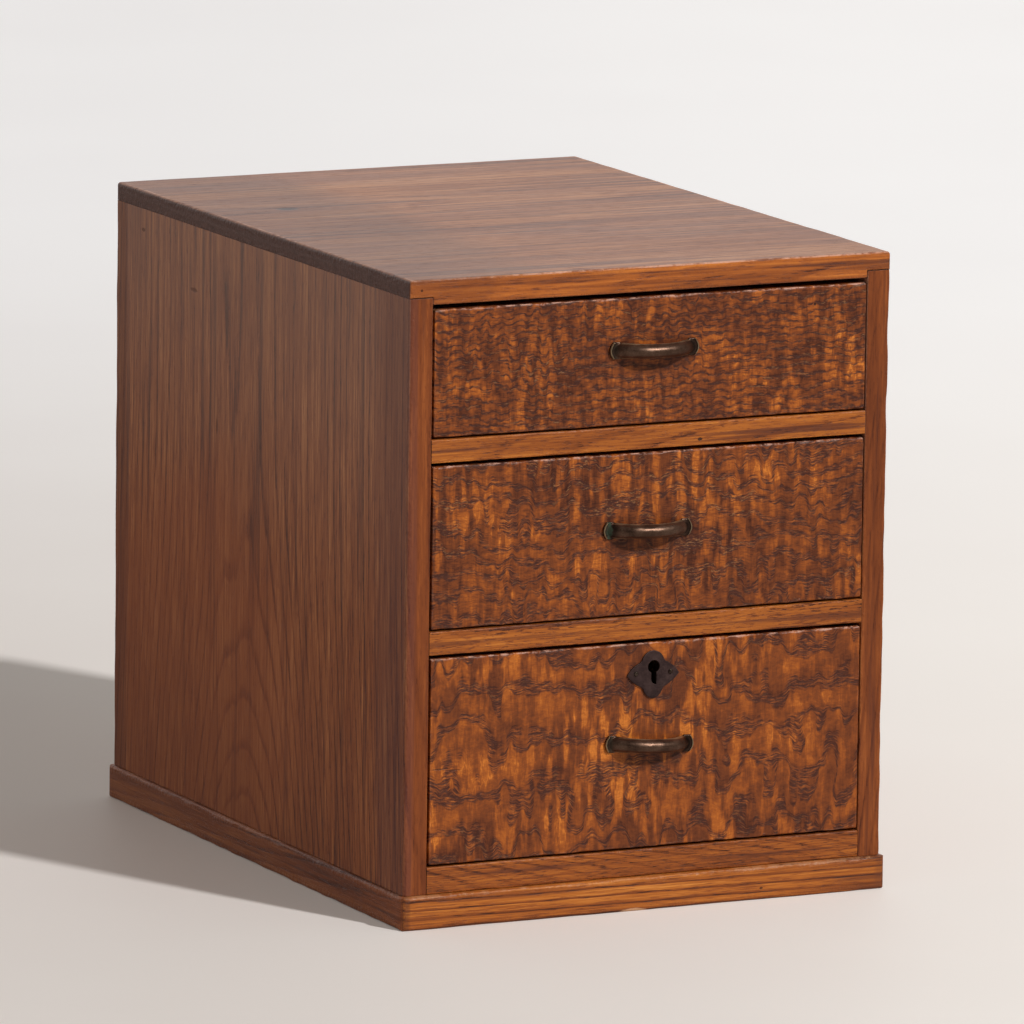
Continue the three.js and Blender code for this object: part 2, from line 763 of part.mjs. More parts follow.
function strikeNailHoles(low, high) {
  return strikeNailPlaces().map(({ x }) => {
    const radius = nailShankRadius + pinClearance;
    const hole = new THREE.CylinderGeometry(radius, radius, high - low, roundSteps);
    hole.rotateX(Math.PI / 2).translate(x, strikeCorners().middle, (low + high) / 2);
    return solidOf(hole);
  });
}

function cutForStrike(rail) {
  const { underside, plate, pocket } = strikeCorners();
  const [low, high] = plate;
  let cut = rail.subtract(block([low[0], low[1], underside - overrun], high, glueLine));
  cut = cut.subtract(block(...pocket));
  for (const hole of strikeNailHoles(underside, underside + nailLength + pinClearance)) {
    cut = cut.subtract(hole);
  }
  return cut;
}

function addStrike(chest) {
  const { middle, underside, plate, pocket } = strikeCorners();
  let strike = block(...plate).subtract(block(...pocket));
  for (const hole of strikeNailHoles(underside - overrun, underside + nailLength)) {
    strike = strike.subtract(hole);
  }
  addPiece(chest, "strike_plate", strike, brass);
  for (const { name, x } of strikeNailPlaces()) {
    const pin = addPiece(chest, `strike_${name}_nail`, solidOf(nail()), steel);
    pin.position.set(x, middle, plate[0][2] - fittingGap);
    pin.rotation.x = Math.PI / 2;
  }
}

const drawers = [
  {
    name: "top",
    floor: topFloor,
    opening: topOpeningHeight,
    headroom: topDrawerHeadroom,
    pullRise: topPullRise,
    pullShift: topPullShift,
    pullTilt: topPullTilt,
  },
  {
    name: "middle",
    floor: middleFloor,
    opening: middleOpeningHeight,
    headroom: middleDrawerHeadroom,
    pullRise: middlePullRise,
    pullShift: middlePullShift,
    pullTilt: middlePullTilt,
  },
  {
    name: "bottom",
    floor: bottomFloor,
    opening: bottomOpeningHeight,
    headroom: bottomDrawerHeadroom,
    pullRise: bottomPullRise,
    pullShift: bottomPullShift,
    pullTilt: bottomPullTilt,
  },
];

const chest = new THREE.Group();
chest.position.y = -(foremost + rearmost) / 2;
addPlinth(chest);
addSides(chest);
addTop(chest);
addBackBoards(chest);
addRails(chest);
addStrike(chest);
for (const drawer of drawers) {
  const { group, frame } = addDrawer(chest, drawer);
  if (drawer.name === "bottom") addLock(group, frame);
}

export default chest;
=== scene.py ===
# A small three-drawer chest: worn boards, rippled drawer fronts, cast bow pulls and a forged keyhole plate.
import json
import math

import bmesh
import bpy
import numpy as np
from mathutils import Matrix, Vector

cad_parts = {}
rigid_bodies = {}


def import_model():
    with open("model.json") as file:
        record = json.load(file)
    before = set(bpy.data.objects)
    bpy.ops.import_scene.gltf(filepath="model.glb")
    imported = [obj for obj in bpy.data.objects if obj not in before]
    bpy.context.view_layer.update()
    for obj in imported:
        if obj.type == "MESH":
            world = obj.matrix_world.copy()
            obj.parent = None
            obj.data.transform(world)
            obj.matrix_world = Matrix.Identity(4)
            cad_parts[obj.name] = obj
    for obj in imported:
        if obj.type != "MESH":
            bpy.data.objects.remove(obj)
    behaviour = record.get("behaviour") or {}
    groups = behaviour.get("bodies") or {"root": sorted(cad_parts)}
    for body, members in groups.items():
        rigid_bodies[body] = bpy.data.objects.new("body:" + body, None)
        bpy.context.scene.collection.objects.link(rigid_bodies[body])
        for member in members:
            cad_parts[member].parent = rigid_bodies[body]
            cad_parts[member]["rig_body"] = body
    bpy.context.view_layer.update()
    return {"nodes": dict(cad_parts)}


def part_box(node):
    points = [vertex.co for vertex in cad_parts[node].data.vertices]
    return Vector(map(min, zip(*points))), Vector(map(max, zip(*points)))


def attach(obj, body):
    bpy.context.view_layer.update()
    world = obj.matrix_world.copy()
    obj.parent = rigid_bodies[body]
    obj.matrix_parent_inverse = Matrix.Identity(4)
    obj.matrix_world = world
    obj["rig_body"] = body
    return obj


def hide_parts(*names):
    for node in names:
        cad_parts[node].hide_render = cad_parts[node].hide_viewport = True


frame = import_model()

mm = 0.001
scene = bpy.context.scene
scene.view_settings.view_transform = "Standard"


def newObject(name, data):
    made = bpy.data.objects.new(name, data)
    scene.collection.objects.link(made)
    return made


def linear(colour):
    # A colour given as three numbers from 0 to 255, as a node wants it.
    share = np.asarray(colour, float) / 255
    straight = np.where(share > 0.04045, ((share + 0.055) / 1.055) ** 2.4, share / 12.92)
    return (*straight.tolist(), 1.0)


class Wire:
    # One output of a node. Arithmetic on it adds Math nodes.
    def __init__(self, tree, socket=None):
        self.tree, self.socket = tree, socket

    def node(self, kind, settings=None, inputs=None, output=0):
        # Any node: its settings are set first, then the values or links of its sockets.
        made = self.tree.nodes.new("ShaderNode" + kind)
        for name, value in (settings or {}).items():
            if name == "stops":
                stops = made.color_ramp.elements
                while len(stops) < len(value):
                    stops.new(0.5)
                for stop, (position, colour) in zip(stops, value):
                    stop.position, stop.color = position, linear(colour)
            else:
                setattr(made, name, value)
        for name, value in (inputs or {}).items():
            if isinstance(value, Wire):
                self.tree.links.new(value.socket, made.inputs[name])
            else:
                made.inputs[name].default_value = value
        return Wire(self.tree, made.outputs[output] if len(made.outputs) else None)

    def maths(self, operation, *others):
        return self.node("Math", {"operation": operation}, dict(enumerate((self, *others))))

    def __add__(self, other):
        return self.maths("ADD", other)

    def __sub__(self, other):
        return self.maths("SUBTRACT", other)

    def __rsub__(self, other):
        return self.node("Math", {"operation": "SUBTRACT"}, {0: other, 1: self})

    def __mul__(self, other):
        return self.maths("MULTIPLY", other)

    def __truediv__(self, other):
        return self.maths("DIVIDE", other)

    def __abs__(self):
        return self.maths("ABSOLUTE")

    __radd__ = __add__
    __rmul__ = __mul__

    def between(self, low, high):
        # 0 below low, 1 above high, and a smooth step between them.
        steps = {"Value": self, "From Min": low, "From Max": high}
        return self.node("MapRange", {"interpolation_type": "SMOOTHSTEP"}, steps)

    def axes(self):
        return [self.node("SeparateXYZ", inputs={0: self}, output=axis) for axis in range(3)]

    def speckle(self, sizes, shift=0.0, detail=2.0, rough=0.5):
        # Cloudy noise about 0, some -0.3 to 0.3. Its lumps are of one size, or of one along each axis.
        scale = [1 / size for size in np.broadcast_to(sizes, 3).tolist()]
        place = self.node("Mapping", inputs={"Vector": self, "Location": (shift,) * 3, "Scale": scale})
        inputs = {"Vector": place, "Scale": 1.0, "Detail": detail, "Roughness": rough}
        return self.node("TexNoise", inputs=inputs) - 0.5

    def spot(self, middle, reach, ragged=0.6):
        # 1 inside an oval spot with a ragged rim, 0 outside it.
        scale = [1 / size for size in reach]
        move = [-place / size for place, size in zip(middle, reach)]
        place = self.node("Mapping", inputs={"Vector": self, "Location": move, "Scale": scale})
        far = place.node("VectorMath", {"operation": "LENGTH"}, {0: place}, output="Value")
        return 1 - (far + place.speckle(0.6, 3.0) * ragged).between(0.7, 1.15)

    def mix(self, first, second):
        # Two colours, mixed by this wire. Three numbers are taken as 0 to 255.
        first, second = (linear(colour) if isinstance(colour, tuple) and len(colour) == 3 else colour
                         for colour in (first, second))
        return self.node("Mix", {"data_type": "RGBA"}, {0: self, 6: first, 7: second}, output=2)

    def ramp(self, places, colours):
        return self.node("ValToRGB", {"stops": list(zip(places, colours))}, {"Fac": self})


def bareTree(owner):
    owner.use_nodes = True
    owner.node_tree.nodes.clear()
    return Wire(owner.node_tree)


def newMaterial(name):
    # A bare material, the wire of its coordinates in mm, and the wire of the wear written into its mesh.
    material = bpy.data.materials.new(name)
    start = bareTree(material)
    metres = start.node("TexCoord", output="Object")
    place = metres.node("VectorMath", {"operation": "SCALE"}, {0: metres, "Scale": 1 / mm})
    return material, place, start.node("Attribute", {"attribute_name": "wear"}, output="Fac")


def finishMaterial(place, inputs, height, relief):
    # A Principled shader whose bump comes from height, relief mm deep.
    bumps = {"Height": height, "Distance": relief * mm, "Strength": 1.0}
    normal = place.node("Bump", inputs=bumps)
    shader = place.node("BsdfPrincipled", inputs={"Specular IOR Level": 0.35, **inputs, "Normal": normal})
    place.node("OutputMaterial", inputs={"Surface": shader})


# Camera, lamp and room
studio = {
    "cameraPlace": (-2.6867, -5.54489, 1.29446),
    "cameraTurn": (79.901, -0.726, -25.807),  # degrees about X, Y and Z
    "lens": 377.2,  # mm, on a sensor 36 mm wide
    "lampFrom": (0.45, -1.0, 0.85),
    "lampStrength": 2.29,
    "lampAngle": 3.0,  # degrees, how wide the lamp looks
    "fill": (0.30, 0.28, 0.26, 1),  # what the room gives to matt surfaces
    "roomBefore": (0.06, 0.05, 0.045, 1),  # what polish mirrors from before the chest
    "roomBehind": (0.94, 0.905, 0.88, 1),  # and from behind it
    "floorBefore": (0.30, 0.27, 0.25, 1),  # and from the floor
    "floorBehind": (0.12, 0.11, 0.10, 1),
    "backdrop": (0.92, 0.89, 0.875, 1),
    "floorColours": ((236, 229, 224), (241, 235, 230)),
    "glowRight": (0.20, 0.20, 0.19, 1),  # what the floor shows the camera alone, more of it to the right
    "glowFar": (0.16, 0.19, 0.22, 1),  # and behind the chest
    "lookAlong": (0.435, 0.9),  # the way that the camera looks over the floor
    "rightReach": (-420, 420),  # mm, from no glow to all of it
    "farReach": (200, 2600),
    "floorReach": 20.0,
}


def buildStudio():
    camera = newObject("camera", bpy.data.cameras.new("camera"))
    camera.location = studio["cameraPlace"]
    camera.rotation_euler = [math.radians(turn) for turn in studio["cameraTurn"]]
    camera.data.lens = studio["lens"]
    camera.data.clip_end = 100
    scene.camera = camera

    lamp = newObject("lamp", bpy.data.lights.new("lamp", "SUN"))
    lamp.data.energy = studio["lampStrength"]
    lamp.data.angle = math.radians(studio["lampAngle"])
    x, y, z = studio["lampFrom"]
    lamp.rotation_euler = (math.atan2(math.hypot(x, y), z), 0, math.atan2(y, x) + math.pi / 2)

    world = bpy.data.worlds.new("room")
    scene.world = world
    start = bareTree(world)
    ray = [start.node("LightPath", output=name) for name in ("Is Camera Ray", "Is Glossy Ray")]
    direction = start.node("TexCoord", output="Generated").axes()
    behind = direction[1].between(-0.1, 0.6)
    high, low = (behind.mix(studio[part + "Before"], studio[part + "Behind"]) for part in ("room", "floor"))
    mirrored = direction[2].between(-0.12, 0.08).mix(low, high)
    colour = ray[0].mix(ray[1].mix(studio["fill"], mirrored), studio["backdrop"])
    start.node("OutputWorld", inputs={0: start.node("Background", inputs={"Color": colour})})

    reach = studio["floorReach"]
    mesh = bpy.data.meshes.new("floor")
    corners = [(-reach, -reach, 0), (reach, -reach, 0), (reach, reach, 0), (-reach, reach, 0)]
    mesh.from_pydata(corners, [], [(0, 1, 2, 3)])
    floor = newObject("floor", mesh)
    material, place, _ = newMaterial("floorPaint")
    cloud = place.speckle(300, detail=4)
    colour = (cloud * 1.5 + 0.5).mix(*studio["floorColours"])
    x, y, _ = place.axes()
    lookX, lookY = studio["lookAlong"]
    far = (x * lookX + y * lookY).between(*studio["farReach"])
    right = (x * lookY - y * lookX).between(*studio["rightReach"]) * (1 - far * 0.6)
    seen = place.node("LightPath", output="Is Camera Ray")
    glows = [(seen * amount).mix((0, 0, 0, 1), studio[name])
             for amount, name in ((right, "glowRight"), (far, "glowFar"))]
    glow = place.node("VectorMath", inputs=dict(enumerate(glows)))
    finish = {"Base Color": colour, "Roughness": 0.6, "Emission Color": glow, "Emission Strength": 1.0}
    finishMaterial(place, finish, place.speckle(3), 0.05)
    mesh.materials.append(material)
    floor.visible_glossy = False


buildStudio()
print("studio ready")


def waver(points, size, seed, waves=24):
    # A smooth random field, some -1 to 1: a sum of sines of about one size in random directions.
    random = np.random.default_rng(seed)
    direction = random.normal(size=(waves, 3))
    direction /= np.linalg.norm(direction, axis=1)[:, None]
    turns = direction * (2 * math.pi / size * random.uniform(0.5, 1.6, waves))[:, None]
    starts = random.uniform(0, 2 * math.pi, waves)
    return np.sin(points @ turns.T + starts).sum(1) / math.sqrt(waves)


def stacked(x, y, z):
    # Rows of three, from grids of coordinates.
    return np.stack(np.broadcast_arrays(x, y, z), -1).reshape(-1, 3)


def ringFaces(rows, columns, closed=False):
    # The quads between rings of points that are numbered ring by ring. Closed joins the last to the first.
    row, column = np.ogrid[: rows if closed else rows - 1, :columns]
    nextRow, nextColumn = (row + 1) % rows * columns, (column + 1) % columns
    row = row * columns
    corners = row + column, row + nextColumn, nextRow + nextColumn, nextRow + column
    return np.stack([corner.ravel() for corner in corners], 1).tolist()


def tube(x, y, z):
    # The points and faces of a closed tube of rings, with both ends filled.
    rows, columns = np.broadcast(x, y, z).shape
    ends = [list(range(columns)), list(range((rows - 1) * columns, rows * columns))]
    return stacked(x, y, z), ringFaces(rows, columns) + ends


def joined(solids):
    # The points and faces of several solids in one.
    points, faces = [], []
    for solidPoints, solidFaces in solids:
        faces += [[corner + len(points) for corner in face] for face in solidFaces]
        points += np.asarray(solidPoints).tolist()
    return points, faces


def writeWear(mesh, wear):
    mesh.attributes.new("wear", "FLOAT", "POINT").data.foreach_set("value", wear.ravel().astype(np.float32))


def newPiece(name, points, faces, wear=None):
    # A mesh object at the origin, its faces turned outwards, with its wear as an attribute.
    mesh = bpy.data.meshes.new(name)
    mesh.from_pydata(np.asarray(points).tolist(), [], faces)
    if wear is not None:
        writeWear(mesh, wear)
    shell = bmesh.new()
    shell.from_mesh(mesh)
    bmesh.ops.remove_doubles(shell, verts=shell.verts, dist=0.0005 * mm)
    bmesh.ops.recalc_face_normals(shell, faces=shell.faces)
    shell.to_mesh(mesh)
    shell.free()
    return newObject(name, mesh)


def coordinates(piece, kind="co"):
    # The places of a piece's points, or their normals, as rows of three.
    values = np.empty(3 * len(piece.data.vertices))
    piece.data.vertices.foreach_get(kind, values)
    return values.reshape(-1, 3)


def settle(piece, sharpAngle=40):
    # Makes the modifiers' result the piece's own mesh, with soft shading between its sharp edges.
    made = bpy.data.meshes.new_from_object(piece.evaluated_get(bpy.context.evaluated_depsgraph_get()))
    piece.modifiers.clear()
    piece.data = made
    made.name = piece.name
    made.shade_smooth()
    made.set_sharp_from_angle(angle=math.radians(sharpAngle))
    return piece


def standFor(piece, node, material):
    # The piece takes a CAD node's place, body and finish.
    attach(piece, frame["nodes"][node]["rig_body"])
    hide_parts(node)
    piece.data.materials.clear()
    piece.data.materials.append(material)


def spread(first, last, step):
    # Places from first to last, one step apart, with more of them close to both ends.
    near = np.array([0, 0.7, 1.5, 2.6]) * mm
    if last - first < 3 * near[-1]:
        return np.linspace(first, last, 4)
    count = max(2, math.ceil((last - first - 2 * near[-1]) / step))
    middle = np.linspace(first + near[-1], last - near[-1], count + 1)[1:-1]
    return np.r_[first + near, middle, last - near[::-1]]


def boardOutline(corners, step):
    # A closed outline, anticlockwise, through corners (u, v, radius). A point on an edge lies a share of the
    # way from its corner to the next. Round a corner the outline is a parabola, which adds
    # radius * (t^2 * way on - (1 - t)^2 * way in) to the corner for t from 0 to 1.
    place = np.array([corner[:2] for corner in corners], float)
    radius = np.array([corner[2] for corner in corners], float)
    onward = np.roll(place, -1, 0) - place
    length = np.linalg.norm(onward, axis=1)
    onward /= length[:, None]
    inward = np.roll(onward, 1, 0)
    turn = np.linspace(0, 1, 7)[:, None]
    corner, share, bend = [], [], []
    for index in range(len(corners)):
        following = (index + 1) % len(corners)
        edge = spread(radius[index] * 1.5, length[index] - radius[following] * 1.5, step) / length[index]
        count = len(edge)
        corner.append(np.full(len(turn) + count, index))
        share.append(np.r_[np.zeros(len(turn)), edge])
        bend.append(turn**2 * onward[index] - (1 - turn) ** 2 * inward[index])
        bend.append(np.zeros((count, 2)))
    normal = np.stack([-onward[:, 1], onward[:, 0]], 1)
    before = np.roll(normal, 1, 0)
    mitre = (normal + before) / (1 + (normal * before).sum(1))[:, None]
    convex = (before * onward).sum(1) > 0
    corner, share = np.concatenate(corner), np.concatenate(share)
    return place, radius, mitre, convex, length, corner, share, np.vstack(bend)


def roundCorners(points, reach, radius):
    # Draws the upright outer corners of the plinth in to a quarter circle: what lies more than radius from
    # the middle of that circle is moved straight towards it.
    low, high = np.array(reach) + [[radius], [-radius]]
    middle = np.clip(points[:, :2], low, high)
    out = points[:, :2] - middle
    far = np.linalg.norm(out, axis=1)[:, None]
    points[:, :2] = middle + out * np.minimum(1, radius / np.maximum(far, 1e-9))


def carriedBoard(node, corners, ends, along, look):
    # An outline carried along an axis. Towards each end it draws in by a quarter circle, then flat to the
    # middle. The arrises' radius wavers along the board. Wear is 1 at an arris and fades beside it.
    place, radius, mitre, convex, length, corner, share, bend = boardOutline(corners, look["step"])
    following = (corner + 1) % len(corners)
    rounding, span = look["endRadius"], ends[1] - ends[0]
    quarter, flat = np.linspace(0, math.pi / 2, 6), np.array([1.8, 0.9, 0.3]) * mm
    inset = np.r_[flat + rounding, rounding * (1 - np.sin(quarter))]
    rise = np.r_[flat * 0, rounding * (1 - np.cos(quarter))]
    middle = spread(rounding * 1.5, span - rounding * 1.5, look["step"]) / span
    travel = np.r_[rise * 0, middle, rise * 0 + 1][:, None]
    rise = np.r_[rise, middle * 0, -rise[::-1]][:, None]
    inset = np.r_[inset, middle * 0, inset[::-1]][:, None]

    def roughly(u, v, w):
        # How much larger or smaller an arris is there than its named radius.
        field = waver(stacked(u, v, w), look["wobbleLength"], look["seed"])
        return np.clip(1 + look["wobble"] * field, 0.35, 1.4).reshape(np.broadcast(u, v, w).shape)

    grown = roughly(*place[corner].T, travel * span)
    rim = place[corner] + share[:, None] * (place[following] - place[corner])
    endGrown = roughly(*rim.T, 0)
    depth = inset * endGrown
    here = place[corner] + depth[..., None] * mitre[corner]
    there = place[following] + depth[..., None] * mitre[following]
    left = np.maximum(radius[corner] * grown - depth, 0)
    outline = here + share[:, None] * (there - here) + left[..., None] * bend
    u, v = outline[..., 0], outline[..., 1]
    cutBack = abs(u - look["mitreFrom"]) if "mitreFrom" in look else 0
    w = ends[0] + span * travel + rise * endGrown + cutBack * (1 - 2 * travel)

    away = [share * length[corner] - radius[corner], (1 - share) * length[corner] - radius[following]]
    away = [np.where(convex[end], np.maximum(far, 0), 1) for far, end in zip(away, (corner, following))]
    toEnd = np.minimum(travel, 1 - travel) * span + np.maximum(inset - rounding, 0)
    wear = np.exp(-np.minimum(np.minimum(*away), toEnd) / look["fade"])

    order = {"x": (w, u, v), "y": (u, w, v), "z": (u, v, w)}[along]
    piece = newPiece("dressed_" + node, *tube(*order), wear)
    points, normals = coordinates(piece), coordinates(piece, "normal")
    if "cornerReach" in look:
        roundCorners(points, look["cornerReach"], look["cornerRadius"])
    lift = look["uneven"] * waver(points, look["unevenLength"], look["seed"] + 1)
    piece.data.vertices.foreach_set("co", (points + normals * lift[:, None]).ravel())
    return piece


def boxCutter(low, high):
    # The eight corners and six faces of a block.
    points = [(x, y, z) for x in (low[0], high[0]) for y in (low[1], high[1]) for z in (low[2], high[2])]
    return points, [(0, 1, 3, 2), (4, 6, 7, 5), (0, 4, 5, 1), (2, 3, 7, 6), (0, 2, 6, 4), (1, 5, 7, 3)]


def barCutter(outline, front, rear):
    # A flat outline in X and Z, carried from front to rear.
    x, z = np.asarray(outline).T
    return tube(x, [[front], [rear]], z)


def allRound(count):
    return np.linspace(0, 2 * math.pi, count, endpoint=False)


def reshape(piece, cutters, operation="DIFFERENCE"):
    # Cuts the solids out of a piece, or joins them to it. Solids of one call don't overlap each other.
    tool = newPiece("tool", *joined(cutters))
    modifier = piece.modifiers.new("cut", "BOOLEAN")
    modifier.object, modifier.operation = tool, operation
    modifier.solver = "MANIFOLD"
    settle(piece)
    bpy.data.objects.remove(tool)


# Spots, holes and small cracks, each an oval of its own colour, and ovals of painted shadow below the pulls
# and painted shade inside the keyhole. They lie a little deeper than the face.
def markedAndShaded(place, colour, marksAndPaintedShade):
    dent = 0.0
    for middle, reach, shade, strength in marksAndPaintedShade:
        mark = place.spot(middle, reach) * strength
        colour = mark.mix(colour, shade)
        dent = mark + dent
    return colour, dent


# Straight-grained wood. Growth rings are shells round an axis that runs along the board, so they show as
# lines on its faces and as arches where the axis leans. Long narrow speckles are the pores.
def straightWood(name, wood):
    material, place, wear = newMaterial(name)
    along = "xyz".index(wood["along"])
    across = [axis for axis in range(3) if axis != along]

    seed = wood["seed"]

    def noise(length, width, shift, *more):
        # Noise in lumps of one length along the grain and one width across it.
        return place.speckle([length if axis == along else width for axis in range(3)], seed + shift, *more)

    axes = place.axes()
    normal = place.node("NewGeometry", output="Normal").axes()
    facing = [abs(axis) for axis in normal]
    drift = noise(420, 90, 0) * wood["drift"] + noise(700, 22, 1.3) * 9
    flutter = noise(60, 14, 3.1) * 1.2 + noise(16, 3, 4.4) * 0.5
    rise = axes[along].maths("SMOOTH_MIN", wood["leanReach"], 160.0)
    first, second = (axes[axis] - heart + rise * lean
                     for axis, heart, lean in zip(across, wood["heart"], wood["lean"]))
    first, second = first + drift, second + drift * 0.6
    ring = ((first * first + second * second).maths("SQRT") + flutter) / wood["ringWidth"]
    bold = 0.35 + noise(300, 12, 2.2).between(-0.1, 0.2) * 0.65
    ring = ring.maths("FRACT")
    early = (1 - ring.between(0.1, wood["earlyShare"])) * ring.between(0, 0.08) * bold
    vessel = noise(wood["poreLength"], wood["poreWidth"], 7.7, 3, 0.65)
    pores = vessel.between(0.03, 0.13) * (0.4 + early * 0.6)
    fibre = noise(*wood["fibreSize"], 11.3, 3, 0.65)
    hair = noise(*wood["hairSize"], 14.9, 2)
    streak = noise(*wood["streakSize"], 17.9, 3)
    cloud = noise(200, 60, 23.3, 3)
    vein = noise(wood["veinLength"], 5, 29.9, 2).between(0.06, 0.2) * wood["veins"]
    tone = wood["tone"] + fibre * wood["fibre"] + hair * wood["hair"] + streak * wood["streak"] + cloud * 0.5
    tone = tone - early * wood["ringDark"] - pores * wood["poreDark"] - vein * 0.15
    front = facing[1].between(0.7, 0.9)
    stops = 0, 0.25, 0.5, 0.75, 1
    colour = front.mix(*(tone.ramp(stops, wood[colours]) for colours in ("colours", "edgeColours")))
    colour = (vein * 0.6).mix(colour, (84, 47, 38))
    # Painted sheen: on all but the forward faces the wood grows paler and greyer towards the top, standing in
    # for the reflection of the bright room.
    colour = ((1 - front) * axes[2].between(130, 400) * wood["paintedSheen"]).mix(colour, (172, 158, 150))
    # Pale along the arrises that face up and forward: partly rubbed wood, partly a painted highlight of the
    # lit arris.
    paleEdge = wear + place.speckle(5, seed + 5, 4, 0.7) * 1.2
    paleEdge = (paleEdge + place.speckle((45, 45, 30), seed + 8, 1)).between(*wood["paleEdgeFrom"])
    paleEdge = paleEdge * normal[2].between(0.1, 0.6) * (1 - facing[0].between(0.3, 0.6) * 0.8)
    colour = (paleEdge * wood["paleEdge"]).mix(colour, wood["paleEdgeColour"])
    end = facing[along].between(0.75, 0.9)
    grime = place.speckle(1.2, seed, 3, 0.7) * 1.2 + place.speckle((30, 6, 2), seed + 6, 3) * 0.9
    grime = (grime + 0.5).mix(*wood["endColours"])
    colour = (end * (1 - paleEdge * 0.7)).mix(colour, grime)
    colour, dent = markedAndShaded(place, colour, wood["marksAndPaintedShade"])
    finish = {"Base Color": colour, "Roughness": wood["gloss"] + pores * 0.1 + cloud * 0.12,
              "Specular IOR Level": wood["polish"]}
    nicks = wear * place.speckle(2.4, seed + 31, 2) * 6
    finishMaterial(place, finish, fibre * 0.4 + nicks - pores - early * 0.35 - dent * 2, wood["relief"])
    return material


# Rippled wood of a drawer front. The rings lie nearly level with the face, so their height at each place
# gives contour bands: the dark early wood with its fine pores, and the bright late wood between.
def rippledWood(name, figure):
    material, place, wear = newMaterial(name)
    seed = figure["seed"]
    width, length = figure["columnWidth"], figure["columnLength"]

    def noise(sizes, shift, *more):
        return place.speckle(sizes, seed + shift, *more)

    x, y, z = place.axes()
    broad = noise((80, 60, 45), 0, 2)
    columns = noise((width, 30, length), 3.7, 1)
    lobes = noise((width * 0.6, 30, width * 1.1), 9.1, 1)
    jitter = noise((2.6, 20, 3.4), 12.7, 2)
    strength = 0.25 + (noise((80, 40, 55), 5.3, 1) + 0.5).between(0.36, 0.6)
    ripple = columns.between(-0.13, 0.13) * strength
    height = z + x * figure["lean"] + broad * figure["broad"] + ripple * figure["ripple"]
    height = height + lobes * figure["lobes"] + jitter * figure["jitter"]
    ring = (height / figure["ringWidth"]).maths("FRACT")
    share = figure["earlyShare"] + noise((26, 30, 16), 13.7, 1) * 0.8
    early = ring.between(0.0, 0.1) * (1 - (ring - share).between(-0.06, 0.14))
    halo = 1 - abs(ring - share * 0.5).between(0.1, 0.5)
    level = z + ripple * figure["ripple"] * 0.28 + lobes * figure["lobes"] * 0.25
    level = level + jitter * figure["jitter"] * 0.3
    grain = place.node("CombineXYZ", inputs={0: x, 1: y, 2: level})
    lines = grain.speckle((5, 8, 0.75), seed + 4.1, 2, 0.6)
    pores = lines.between(0.02, 0.1) * (figure["poreReach"] + early * (1 - figure["poreReach"]))
    pale = 1 - lines.between(-0.12, -0.02)
    zone = noise((90, 60, 80), 21.3, 1).between(-0.08, 0.08)
    # Upright stripes: partly the wood's figure, partly a painted chatoyant sheen; their brighter cores are
    # painted sheen.
    stripesAndSheen = noise((5.5, 30, figure["stripeLength"]), 6.9, 3, 0.55)
    bars = stripesAndSheen.between(-0.1, 0.12) - 0.5
    lumps = noise((7, 20, 4.4), 16.1, 2, 0.5).between(-0.12, 0.12) - 0.5
    sheenCore = 1 - abs(stripesAndSheen - 0.06).between(0.0, 0.03)
    patches = noise((46, 40, 30), 8.3, 2)
    wall = 1 - abs(columns).between(0.0, 0.07)
    threads = noise((1.1, 20, 7), 10.1, 3, 0.65)
    fleck = noise((2.6, 2.6, 1.6), 14.9, 3, 0.6)
    tone = figure["tone"] + patches * figure["patches"] + threads * 0.35 + fleck * 0.35
    tone = tone + bars * figure["stripesAndSheen"] * (zone * 0.22 + 0.17)
    tone = tone + lumps * figure["lumps"] * (0.3 - zone * 0.12)
    tone = tone + sheenCore * patches.between(0.0, 0.15) * (1 - early) * 0.16 + pale * early * 0.4
    tone = tone - early * figure["earlyDark"] - halo * figure["haloDark"] - pores * figure["poreDark"]
    tone = tone - wall * figure["wallDark"]
    colour = tone.ramp((0, 0.2, 0.4, 0.6, 0.8, 1), figure["colours"])
    colour = (early * 0.25).mix(colour, (94, 55, 44))
    ticks = 1 - grain.speckle((3.2, 8, 0.8), seed + 18.1, 2, 0.6).between(-0.17, -0.05)
    colour = (ticks * early * (zone * 0.7 + 0.3) * figure["tan"]).mix(colour, (166, 114, 70))
    # Pale along the top arris: partly rubbed wood, partly a painted highlight of the lit arris.
    paleEdge = (wear + noise(5, 5, 4, 0.7) * 1.5).between(0.9, 1.2)
    upward = place.node("NewGeometry", output="Normal").axes()[2].between(0.3, 0.75) * 0.9 + 0.1
    colour = (paleEdge * upward * figure["paleEdge"]).mix(colour, figure["paleEdgeColour"])
    colour, dent = markedAndShaded(place, colour, figure["marksAndPaintedShade"])
    finish = {"Base Color": colour, "Roughness": figure["gloss"] + pores * 0.08 + early * 0.04,
              "Specular IOR Level": 0.25}
    nicks = wear * noise(2.4, 31, 2) * 12
    finishMaterial(place, finish, stripesAndSheen * 0.5 + nicks - pores - early * 0.2 - dent * 2, figure["relief"])
    return material


